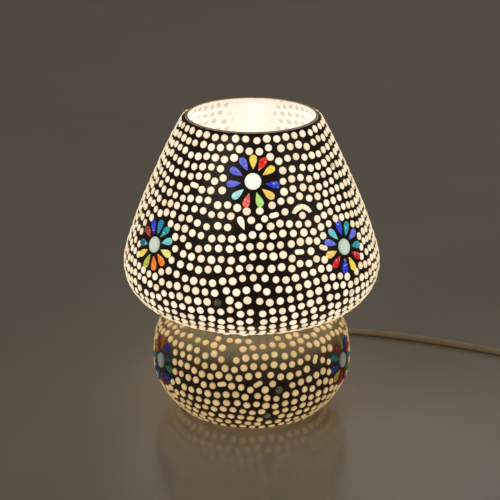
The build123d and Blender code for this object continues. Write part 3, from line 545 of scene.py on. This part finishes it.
def odd_points(odd):
    """Points on the surface that the discs keep away from, for all odd pieces."""
    points = []
    for kind, bearing, step, turn in odd:
        place, _, sideways, downward = on_surface(bearing, step)
        for across, up in ODD_FOOTPRINT[kind]:
            x = across * math.cos(turn) - up * math.sin(turn)
            y = across * math.sin(turn) + up * math.cos(turn)
            points.append(place + (x * sideways - y * downward) * MM)
    return np.array(points)


def point_tree(points):
    """A search tree over points."""
    tree = KDTree(len(points))
    for k, point in enumerate(points):
        tree.insert(point, k)
    tree.balance()
    return tree


def settle(places, fixed, rounds=24):
    """Push discs apart where they crowd, and off the flowers and odd pieces, along the surface."""
    bearing, step = np.array(places).T
    for _ in range(rounds):
        points, _, sideways, downward = on_surface(bearing, step)
        tree = point_tree(np.concatenate([points, fixed]))
        push = np.zeros_like(points)
        for k, point in enumerate(points):
            for other, j, distance in tree.find_range(point, CROWDED):
                if j != k:
                    share = 0.25 if j < len(points) else 0.6
                    push[k] += (point - np.array(other)) / max(distance, 1e-6) * (CROWDED - distance) * share
        distance, away = flower_distance(points)
        push += away * (np.clip(FLOWER_CLEAR - distance, 0, None) * 0.7)[:, None]
        radius = np.interp(step, steps, line_radius)
        bearing = bearing + (push * sideways).sum(1) / radius
        step = np.clip(step + (push * downward).sum(1), FIRST_ROW - 0.2 * MM, line_length - LAST_ROW)
    return list(zip(bearing, step))


def fill_gaps(places, fixed):
    """Add a disc wherever one more fits."""
    tree = point_tree(np.concatenate([on_surface(*np.array(places).T)[0], fixed]))
    added = []
    step = FIRST_ROW
    while step < line_length - LAST_ROW:
        radius = float(np.interp(step, steps, line_radius))
        bearings = np.arange(0, 2 * math.pi, GAP_SEARCH_ACROSS / radius)
        points = on_surface(bearings, np.full_like(bearings, step))[0]
        clear = flower_distance(points)[0] > FLOWER_CLEAR + 0.3 * MM
        if abs(step - waist_step) < WAIST_GAP:
            clear[:] = False
        for bearing, point in zip(bearings[clear], points[clear]):
            here = Vector(point)
            if tree.find(here)[2] > GAP and all((here - other).length > GAP for other in added):
                added.append(here)
                places.append((bearing, step))
        step += GAP_SEARCH_DOWN
    return places


def disc_places(odd):
    """The final places of all discs round the given odd pieces."""
    rows = laid_rows()
    fixed = odd_points(odd)
    tree = point_tree(fixed)
    points = on_surface(*np.array(rows).T)[0]
    off_flower = flower_distance(points)[0] > FLOWER_CLEAR - 3.4 * MM
    rows = [place for place, point, free in zip(rows, points, off_flower)
            if free and tree.find(point)[2] > 0.62 * CROWDED]
    return fill_gaps(settle(rows, fixed), fixed)


# ---------------------------------------------------------------- glass piece shapes
# Share of the radius, and height above the grout in millimetres, from the buried edge to the crown
DISC_PROFILE = [(1.0, -0.7), (1.0, 0.08), (0.95, 0.3), (0.82, 0.46), (0.5, 0.56)]
CROWN_HEIGHT = 0.6


def dome_over(outline, spine):
    """Rings that shrink a closed outline towards its spine, plus a crown; gives points, faces, middles."""
    outline, spine = np.array(outline), np.array(spine)
    count = len(outline)
    points, middle = [], []
    for share, height in DISC_PROFILE:
        ring = spine + (outline - spine) * share
        points += [(x, y, height * MM) for x, y in ring]
        middle += [1 - share] * count
    last = (len(DISC_PROFILE) - 1) * count
    faces = [
        (r * count + k, r * count + (k + 1) % count, (r + 1) * count + (k + 1) % count, (r + 1) * count + k)
        for r in range(len(DISC_PROFILE) - 1)
        for k in range(count)
    ]
    inner = spine + (outline - spine) * 0.12
    points += [(x, y, CROWN_HEIGHT * MM) for x, y in inner]
    middle += [0.9] * count
    faces += [
        (last + k, last + (k + 1) % count, last + count + (k + 1) % count, last + count + k)
        for k in range(count)
    ]
    crown = len(points)
    points.append((*spine.mean(0), CROWN_HEIGHT * MM))
    middle.append(1.0)
    faces += [(last + count + k, last + count + (k + 1) % count, crown) for k in range(count)]
    return np.array(points), faces, np.array(middle)


def round_outline(radius, squash=1.0, segments=DISC_SEGMENTS):
    """A circle, or an oval, with its centre as spine."""
    turns = [2 * math.pi * k / segments for k in range(segments)]
    return [(radius * math.cos(t), radius * squash * math.sin(t)) for t in turns], [(0, 0)] * segments


def teardrop_outline(length, width, segments=30):
    """A teardrop with its point at -Y and its round end at +Y, and the spine that its crown follows."""
    outline, spine = [], []
    for k in range(segments):
        t = 2 * math.pi * k / segments
        along = -math.cos(t)
        across = math.sin(t) * math.sin(t / 2 if t < math.pi else (2 * math.pi - t) / 2) ** 1.35
        outline.append((across * width / 2 * 1.12, along * length / 2))
        spine.append((0, min(max(along, -0.55), 0.55) * length / 2 + 0.1 * length))
    return outline, spine


def capsule_outline(length, width, segments=20):
    """A short tube bead seen from above."""
    outline, spine = [], []
    for k in range(segments):
        t = 2 * math.pi * k / segments
        end = math.copysign(length / 2 - width / 2, math.cos(t))
        outline.append((end + width / 2 * math.cos(t), width / 2 * math.sin(t)))
        spine.append((end, 0))
    return outline, spine


def bent_bead_outline(radius, width, sweep, segments=14):
    """A tube bead bent to an arc."""
    outline, spine = [], []
    sides = [(1, k) for k in range(segments)] + [(-1, k) for k in reversed(range(segments))]
    for side, k in sides:
        angle = math.radians(90 - sweep / 2 + sweep * k / (segments - 1))
        reach = radius + side * width / 2
        outline.append((reach * math.cos(angle), reach * math.sin(angle)))
        spine.append((radius * math.cos(angle), radius * math.sin(angle)))
    return outline, spine


def odd_shapes(kind):
    """The outlines of an odd piece; the arc bead comes with the disc that it curves over."""
    return {
        "teardrop": [teardrop_outline(9.8 * MM, 5.4 * MM)],
        "capsule": [capsule_outline(6.6 * MM, 3.5 * MM)],
        "clear": [round_outline(2.6 * MM)],
        "arc": [bent_bead_outline(6.2 * MM, 2.6 * MM, 150), round_outline(2.4 * MM)],
    }[kind]


class GlassBatch:
    """Many small glass pieces laid on the surface, gathered into one mesh."""

    def __init__(self):
        self.vertices, self.faces, self.middle, self.tint = [], [], [], []
        self.count = 0

    def lay(self, shape, bearing, step, turn=0.0, lift=0.0, tint=(1, 1, 1)):
        """Set a flat-backed piece on the surface, turned about its own normal."""
        points, faces, middle = shape
        place, outward, sideways, downward = on_surface(bearing, step, lift)
        x = points[:, 0] * math.cos(turn) - points[:, 1] * math.sin(turn)
        y = points[:, 0] * math.sin(turn) + points[:, 1] * math.cos(turn)
        placed = place + x[:, None] * sideways - y[:, None] * downward + points[:, 2:3] * outward
        self.vertices.append(placed)
        self.faces += [tuple(k + self.count for k in face) for face in faces]
        self.middle.append(middle)
        self.tint.append(np.tile((*tint, 1.0), (len(points), 1)))
        self.count += len(points)

    def piece(self, name, material, slot):
        """Make the batch one object on the lamp."""
        values = {"middle": np.concatenate(self.middle), "tint": np.concatenate(self.tint)}
        return mesh_piece(name, np.concatenate(self.vertices), self.faces, material, values=values)


# ---------------------------------------------------------------- glass and grout materials
def lit_glass(name, edge, core, strength, mottle=0.12, smeared=0.994):
    """Milky glass with the light from behind painted as an emission glow, paler in the middle; a few pieces
    smeared with brown grout.
    """
    material, tree, shader = start_material(
        name, Roughness=0.22, Coat_Weight=0.5, Coat_Roughness=0.08, Emission_Strength=strength
    )
    middle = rescale(tree, vertex_value(tree, "middle"), 0.0, 1.0)
    # Painted glow: the emission is brighter towards each piece's middle.
    glow = ramp(tree, middle, (0.0, edge), (0.35, core))
    own = add_node(tree, "ShaderNodeNewGeometry").outputs["Random Per Island"]
    varied = mix_colour(tree, 1.0, glow, ramp(tree, own, (0.0, (0.86, 0.80, 0.72)), (0.5, (1, 0.97, 0.93)),
                                             (1.0, (1, 1, 1))), "MULTIPLY")
    cloud = ramp(tree, noise(tree, 900, 3), (0.3, (1 - mottle,) * 3), (0.7, (1, 1, 1)))
    clean = mix_colour(tree, 1.0, varied, cloud, "MULTIPLY")
    chosen = ramp(tree, own, (smeared, (0, 0, 0)), (smeared + 0.005, (1, 1, 1)))
    patch = ramp(tree, noise(tree, 330, 3), (0.44, (0, 0, 0)), (0.5, (1, 1, 1)))
    colour = mix_colour(tree, mix_colour(tree, 1.0, chosen, patch, "MULTIPLY"), clean, (0.20, 0.09, 0.03))
    tree.links.new(colour, shader.inputs["Emission Color"])
    tree.links.new(colour, shader.inputs["Base Color"])
    return material


def petal_glass(name, glint_colour):
    """Coloured glass with clouds, painted white glints and a painted glow by emission, tinted petal by petal.
    """
    material, tree, shader = start_material(
        name, Roughness=0.12, Coat_Weight=0.8, Coat_Roughness=0.05, Emission_Strength=1.1
    )
    tint = vertex_value(tree, "tint", "Color")
    cloud = ramp(tree, noise(tree, 520, 4, 0.6), (0.32, (0.55, 0.55, 0.55)), (0.68, (1.0, 1.0, 1.0)))
    shaded = mix_colour(tree, 1.0, tint, cloud, "MULTIPLY")
    # Painted highlight: pale glint-coloured specks scattered over the petals.
    painted_glints = ramp(tree, noise(tree, 620, 3), (0.58, (0, 0, 0)), (0.74, (0.55, 0.55, 0.55)))
    colour = mix_colour(tree, painted_glints, shaded, glint_colour)
    tree.links.new(colour, shader.inputs["Base Color"])
    tree.links.new(colour, shader.inputs["Emission Color"])
    add_bump(tree, shader, noise(tree, 300, 2), 0.08 * MM)
    return material


def clear_glass():
    """The few clear discs that show the dark behind them."""
    material, tree, shader = start_material(
        "clear_disc_glass", Roughness=0.05, Coat_Weight=1.0, Coat_Roughness=0.03, Emission_Strength=0.3
    )
    # Emission gives these discs a faint painted glow.
    colour = ramp(tree, noise(tree, 600, 4), (0.3, (0.05, 0.04, 0.03)), (0.6, (0.22, 0.19, 0.13)),
                  (0.78, (0.75, 0.68, 0.52)))
    tree.links.new(colour, shader.inputs["Base Color"])
    tree.links.new(colour, shader.inputs["Emission Color"])
    add_bump(tree, shader, noise(tree, 500, 2), 0.05 * MM)
    return material


def grout_paste():
    """Dark brown grout, wiped by hand, with the dome's light on the bowl's shoulder painted as an emission
    band.
    """
    material, tree, shader = start_material(
        "grout_paste", Coat_Weight=0.35, Coat_Roughness=0.18, Emission_Strength=1.0
    )
    colour = ramp(tree, noise(tree, 130, 6, 0.6), (0.3, (0.026, 0.015, 0.007)), (0.62, (0.050, 0.030, 0.014)),
                  (0.8, (0.085, 0.052, 0.026)))
    tree.links.new(colour, shader.inputs["Base Color"])
    tree.links.new(rescale(tree, noise(tree, 210, 4), 0.22, 0.5), shader.inputs["Roughness"])
    parts = tree.nodes.new("ShaderNodeSeparateXYZ")
    tree.links.new(object_place(tree), parts.inputs["Vector"])
    height = add_node(tree, "ShaderNodeMapRange")
    height.inputs["From Max"].default_value = 100 * MM
    tree.links.new(parts.outputs["Z"], height.inputs["Value"])
    # Painted light: an emission band on the bowl's shoulder just under the dome, where the dome's light
    # falls.
    painted_dome_light = ramp(tree, height.outputs["Result"], (0.44, (0, 0, 0)), (0.56, (0.022, 0.017, 0.008)),
                      (0.68, (0.14, 0.105, 0.05)), (0.73, (0.14, 0.105, 0.05)), (0.75, (0, 0, 0)))
    tree.links.new(painted_dome_light, shader.inputs["Emission Color"])
    swell = mix_colour(tree, 0.45, noise(tree, 260, 3), noise(tree, 1500, 4, 0.7))
    add_bump(tree, shader, swell, 0.22 * MM)
    return material


def painted_disc_shade(tree):
    """Painted shade: soft dark dots in staggered rows round the axis, standing for the discs' shade on the
    lit glass; near x = 0 they fade into a painted bright band.
    """
    place = object_place(tree)
    wobble = add_node(tree, "ShaderNodeTexNoise", Scale=45.0, Detail=1.0)
    tree.links.new(place, wobble.inputs["Vector"])
    parts = tree.nodes.new("ShaderNodeSeparateXYZ")
    tree.links.new(place, parts.inputs["Vector"])

    def maths(operation, first, second=0.0, third=0.0):
        node = tree.nodes.new("ShaderNodeMath")
        node.operation = operation
        for socket, value in zip(node.inputs, (first, second, third)):
            if isinstance(value, bpy.types.NodeSocket):
                tree.links.new(value, socket)
            else:
                socket.default_value = value
        return node.outputs["Value"]

    spots_round, row_height = 46, 6.4 * MM
    angle = maths("ARCTAN2", parts.outputs["Y"], parts.outputs["X"])
    row = maths("MULTIPLY_ADD", parts.outputs["Z"], 1 / row_height, wobble.outputs["Fac"])
    stagger = maths("MULTIPLY", maths("FLOOR", row), 0.5)
    shift = maths("ADD", stagger, wobble.outputs["Fac"])
    column = maths("MULTIPLY_ADD", angle, spots_round / (2 * math.pi), shift)
    across = maths("SUBTRACT", maths("FRACT", column), 0.5)
    up = maths("SUBTRACT", maths("FRACT", row), 0.5)
    distance = maths("SQRT", maths("ADD", maths("MULTIPLY", across, across), maths("MULTIPLY", up, up)))
    node = add_node(tree, "ShaderNodeMapRange")
    node.interpolation_type = "SMOOTHSTEP"
    node.inputs["From Min"].default_value = 0.42
    node.inputs["From Max"].default_value = 0.2
    tree.links.new(distance, node.inputs["Value"])
    # Painted light: the dots fade out near x = 0, leaving a brighter band.
    painted_bright_band = tree.nodes.new("ShaderNodeMapRange")
    painted_bright_band.interpolation_type = "SMOOTHSTEP"
    painted_bright_band.inputs["From Min"].default_value = 11 * MM
    painted_bright_band.inputs["From Max"].default_value = 21 * MM
    painted_bright_band.inputs["To Min"].default_value = 0.12
    tree.links.new(maths("ABSOLUTE", parts.outputs["X"]), painted_bright_band.inputs["Value"])
    return maths("MULTIPLY", node.outputs["Result"], painted_bright_band.outputs["Result"])


def milky_glass(name, glow, shade, strength):
    """The blown body seen from inside: milky, with a painted glow by emission and the discs' painted shade
    showing faintly.
    """
    material, tree, shader = start_material(
        name, Roughness=0.16, Coat_Weight=0.4, Coat_Roughness=0.06, Emission_Strength=strength
    )
    # Painted shade of the discs: the glow colour turns to the shade colour in the dots.
    spots = painted_disc_shade(tree)
    lit = mix_colour(tree, spots, glow, shade)
    cloud = ramp(tree, noise(tree, 30, 3), (0.35, (0.92, 0.92, 0.92)), (0.65, (1, 1, 1)))
    colour = mix_colour(tree, 1.0, lit, cloud, "MULTIPLY")
    tree.links.new(mix_colour(tree, 0.45, colour, (0.0, 0.0, 0.0)), shader.inputs["Base Color"])
    # Painted glow: the lit colour drives the emission.
    tree.links.new(colour, shader.inputs["Emission Color"])
    add_bump(tree, shader, noise(tree, 60, 2), 0.12 * MM)
    return material


# ---------------------------------------------------------------- grout skin
def grout_skin(name, node, first, last, lip=None):
    """A skin of grout between two distances along the outline; its upper edge may rise to a lip."""
    around = SKIN_POINTS_AROUND
    along = round((last - first) / SKIN_ROW)
    circle = np.linspace(0, 2 * math.pi, around, endpoint=False)
    step, bearing = np.meshgrid(np.linspace(first, last, along), circle, indexing="ij")
    swell = (np.sin(bearing * 31 + step * 900) * np.sin(step * 700 - bearing * 17)
             + 0.6 * np.sin(bearing * 67 - step * 1500))
    outer = on_surface(bearing, step, swell * GROUT_SWELL - GROUT_SINK)[0]
    edges = on_surface(bearing[[0, -1]], step[[0, -1]], np.full((2, around), -GROUT_EDGE_DEPTH))[0]
    if lip:
        radius, height = lip
        edges[0] = np.stack([radius * np.sin(circle), -radius * np.cos(circle), np.full(around, height)], -1)
    vertices = np.concatenate([edges[:1], outer, edges[1:]]).reshape(-1, 3)
    faces = [
        (r * around + k, (r + 1) * around + k,
         (r + 1) * around + (k + 1) % around, r * around + (k + 1) % around)
        for r in range(along + 1)
        for k in range(around)
    ]
    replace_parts(mesh_piece(name, vertices, faces, materials["grout"]), node)


# ---------------------------------------------------------------- mosaic pieces
COLOURS = {
    "yellow": (1.0, 0.72, 0.07), "pale_yellow": (0.92, 0.88, 0.22), "amber": (1.0, 0.66, 0.12),
    "orange": (1.0, 0.24, 0.02), "red": (0.90, 0.03, 0.012), "coral": (0.95, 0.13, 0.10),
    "crimson": (0.60, 0.01, 0.02), "brick": (0.38, 0.05, 0.02), "violet_blue": (0.14, 0.16, 0.72),
    "deep_blue": (0.03, 0.05, 0.62), "teal_blue": (0.02, 0.26, 0.44), "teal": (0.02, 0.34, 0.36),
    "aqua": (0.16, 0.60, 0.62), "pale_cyan": (0.44, 0.86, 0.84), "pale_green": (0.46, 0.82, 0.22),
    "green": (0.06, 0.38, 0.08), "olive": (0.52, 0.50, 0.06), "dark_teal": (0.01, 0.15, 0.20),
}
# Petal colours of each flower, clockwise from the top
PETALS = {
    "high_1": ("yellow red yellow deep_blue amber pale_green coral pale_cyan "
               "violet_blue violet_blue violet_blue"),
    "high_2": "amber deep_blue coral teal yellow pale_cyan violet_blue red pale_green amber deep_blue",
    "high_3": "teal coral yellow violet_blue pale_green red amber deep_blue aqua yellow violet_blue",
    "low_1": "teal_blue teal aqua pale_yellow orange orange olive yellow dark_teal brick deep_blue",
    "low_2": "deep_blue teal violet_blue teal crimson yellow deep_blue crimson amber violet_blue aqua",
    "low_3": "yellow teal red deep_blue pale_green amber violet_blue coral aqua yellow crimson",
    "bowl_1": "orange deep_blue dark_teal green deep_blue brick teal_blue deep_blue teal orange brick",
    "bowl_2": "olive deep_blue crimson teal green brick crimson yellow deep_blue teal crimson",
    "bowl_3": "amber teal_blue crimson green deep_blue yellow brick teal violet_blue orange olive",
}
# How far each petal of the front flower leans from an even spacing, in degrees clockwise
FRONT_LEANS = (1, -3, -7, 3, 1, 0, 0, -1, 0, 3, 4)


def flower(name):
    """Eleven teardrop petals round a milky centre, each its own piece of glass."""
    bearing, step = flowers[name]
    radius = float(np.interp(step, steps, line_radius))
    tints = PETALS[name].split()
    petals, centre = GlassBatch(), GlassBatch()
    on_bowl = name.startswith("bowl")
    # Petals on the bowl are darkened: painted shade.
    dim = BOWL_PETAL_PAINTED_SHADE if on_bowl else 1.0
    for k, tint in enumerate(tints):
        lean = FRONT_LEANS[k] if name == "high_1" else rng.uniform(-3, 3)
        clock = math.radians(360 * k / len(tints) + lean)
        reach = (PETAL_REACH + rng.uniform(-0.3, 0.3)) * MM
        length = (PETAL_LENGTH + rng.uniform(-0.4, 0.4)) * MM
        width = (PETAL_WIDTH + rng.uniform(-0.3, 0.3)) * MM
        shape = dome_over(*teardrop_outline(length, width))
        colour = tuple(c * dim for c in COLOURS[tint])
        petals.lay(shape, bearing + reach * math.sin(clock) / radius, step - reach * math.cos(clock),
                   turn=-clock, lift=PETAL_LIFT, tint=colour)
    petal_material = materials["bowl_petal" if on_bowl else "petal"]
    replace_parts(petals.piece(f"glass_petals_{name}", petal_material, "petal_glass"), f"petals_{name}")
    round_glass = dome_over(*round_outline(FLOWER_CENTRE_RADIUS, segments=40))
    centre.lay(round_glass, bearing, step, lift=CENTRE_LIFT)
    centre_material = materials[name.split("_")[0] + "_centre"]
    middle = centre.piece(f"glass_centre_{name}", centre_material, "centre_glass")
    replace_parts(middle, f"flower_centre_{name}")


def lay_discs():
    """All round discs, in one batch for each band of the lamp, with a few clear ones."""
    bands = {
        "dome_discs_upper": GlassBatch(), "dome_discs_lower": GlassBatch(),
        "bowl_discs_upper": GlassBatch(), "bowl_discs_lower": GlassBatch(), "clear_discs": GlassBatch(),
    }
    split = {False: step_at_height(DOME_SPLIT_HEIGHT, False), True: step_at_height(BOWL_SPLIT_HEIGHT, True)}
    odd = odd_places()
    for bearing, step in disc_places(odd):
        on_bowl = bool(step > waist_step)
        name = ("bowl" if on_bowl else "dome") + ("_discs_upper" if step < split[on_bowl] else "_discs_lower")
        outline = round_outline(DISC_RADIUS * rng.uniform(0.93, 1.06), rng.uniform(0.93, 1.05))
        bands[name].lay(dome_over(*outline), bearing, step, turn=rng.uniform(0, math.pi),
                        lift=rng.uniform(-0.1, 0.1) * MM)
    for kind, bearing, step, turn in odd:
        band = "bowl_discs_lower" if step > waist_step else "dome_discs_upper"
        for shape in odd_shapes(kind):
            bands["clear_discs" if kind == "clear" else band].lay(dome_over(*shape), bearing, step, turn=turn)
    dressing = {"dome_discs": "dome_disc", "bowl_discs": "bowl_disc", "clear_discs": "clear_disc"}
    for name, batch in bands.items():
        key = [value for start, value in dressing.items() if name.startswith(start)][0]
        batch.piece(name, materials[key], "centre_glass")


materials = {
    # The bowl's discs, petals and flower centres are dimmer copies of the dome's: painted shade, as less of
    # the bulb's light comes through the bowl. The low flowers' centres are darker and glow less than the high
    # ones'.
    "dome_disc": lit_glass("dome_disc_glass", (0.92, 0.72, 0.46), (1.0, 0.92, 0.76), 1.05),
    "bowl_disc": lit_glass("bowl_disc_glass", (0.50, 0.33, 0.14), (0.78, 0.58, 0.30), 0.8),
    "clear_disc": clear_glass(),
    "petal": petal_glass("petal_glass", (0.9, 0.92, 0.95)),
    "bowl_petal": petal_glass("bowl_petal_glass", (0.20, 0.19, 0.17)),
    "high_centre": lit_glass("high_flower_centre_glass", (0.80, 0.86, 0.80), (0.96, 0.98, 0.92), 1.0),
    "low_centre": lit_glass("low_flower_centre_glass", (0.44, 0.58, 0.50), (0.68, 0.80, 0.66), 0.85),
    "bowl_centre": lit_glass("bowl_flower_centre_glass", (0.16, 0.19, 0.15), (0.30, 0.32, 0.25), 0.55),
    "grout": grout_paste(),
}

rim_low, rim_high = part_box("rim_line")
rim_lip = (rim_high.x + 0.1 * MM, rim_low.z - 0.1 * MM)
grout_skin("grout_skin_dome", "grout_dome", 0.0, waist_step, lip=rim_lip)
grout_skin("grout_skin_bowl", "grout_bowl", waist_step, line_length)
for flower_name in PETALS:
    flower(flower_name)
lay_discs()

# ---------------------------------------------------------------- carried-over CAD nodes
# The bowl's glass is a dimmer, more orange copy of the dome's: painted shade, as less of the bulb's light
# shows in the bowl.
dress_nodes(milky_glass("milky_dome_glass", (1.0, 0.95, 0.86), (0.70, 0.60, 0.50), 0.62), "glass_dome")
dress_nodes(milky_glass("milky_bowl_glass", (1.0, 0.74, 0.40), (0.66, 0.44, 0.20), 0.30), "glass_bowl")
dress_nodes(metal("gilt_paint", (0.85, 0.62, 0.28), (0.55, 0.36, 0.14), 0.34), "rim_line")
ivory = moulded("ivory_plastic", (0.80, 0.70, 0.52), (0.72, 0.61, 0.44), 0.38, coat=0.2)
sheath = moulded("cord_sheath", (0.78, 0.66, 0.47), (0.68, 0.56, 0.38), 0.42, grain=420.0, depth=0.05 * MM)
dress(cord, sheath)
dress_nodes(sheath, "cord_inside")
dress_nodes(ivory, "switch_base", "switch_cover", "switch_rocker", "plug_body", "plug_relief")
dress_nodes(moulded("holder_plastic", (0.82, 0.79, 0.72), (0.72, 0.69, 0.61), 0.45),
            "holder_cap", "holder_skirt", "cord_bushing")
dress_nodes(moulded("black_rubber", (0.03, 0.03, 0.03), (0.012, 0.012, 0.012), 0.7),
            "rubber_washers", "cord_grommet")
dress_nodes(moulded("clear_rubber", (0.72, 0.72, 0.70), (0.60, 0.60, 0.58), 0.35), "rubber_feet")
dress_nodes(moulded("black_sleeve", (0.02, 0.02, 0.02), (0.01, 0.01, 0.01), 0.3),
            "plug_pin_sleeves", "bulb_insulator")
dress_nodes(moulded("porcelain", (0.88, 0.86, 0.80), (0.80, 0.77, 0.70), 0.18, coat=0.6), "holder_insert")
dress_nodes(moulded("lead_insulation", (0.10, 0.16, 0.36), (0.07, 0.11, 0.28), 0.4), "holder_leads")
dress_nodes(metal("zinc_plate", (0.62, 0.62, 0.60), (0.42, 0.42, 0.41), 0.35),
            "threaded_tube", "steel_washers", "lock_nuts", "terminal_screws", "switch_screws", "bulb_cap")
dress_nodes(metal("rolled_brass", (0.80, 0.60, 0.28), (0.60, 0.42, 0.17), 0.3),
            "screw_shell", "centre_contact", "switch_contacts", "plug_pins", "bulb_contact")


def frosted_bulb():
    """The lit globe and the glass stem inside it: warm white in soft clouds."""
    material, tree, shader = start_material("frosted_bulb", Roughness=0.4, Emission_Strength=3.2)
    colour = ramp(tree, noise(tree, 40, 2), (0.3, (1.0, 0.80, 0.55)), (0.7, (1.0, 0.86, 0.64)))
    tree.links.new(colour, shader.inputs["Base Color"])
    tree.links.new(colour, shader.inputs["Emission Color"])
    return material


dress_nodes(frosted_bulb(), "bulb_globe", "bulb_stem", "bulb_filaments")


# ---------------------------------------------------------------- floor
def make_floor():
    """A plain pale table top with a soft polish."""
    material, tree, shader = start_material("pale_table", Roughness=0.2, Specular_IOR_Level=0.55)
    tree.links.new(ramp(tree, noise(tree, 6, 5), (0.3, (0.52, 0.47, 0.40)), (0.7, (0.56, 0.51, 0.44))),
                   shader.inputs["Base Color"])
    mesh = bpy.data.meshes.new("floor")
    size = FLOOR_HALF_SIZE
    corners = [(-size, -size, 0), (size, -size, 0), (size, size, 0), (-size, size, 0)]
    mesh.from_pydata(corners, [], [(0, 1, 2, 3)])
    floor = link(bpy.data.objects.new("floor", mesh))
    dress(floor, material)


make_floor()
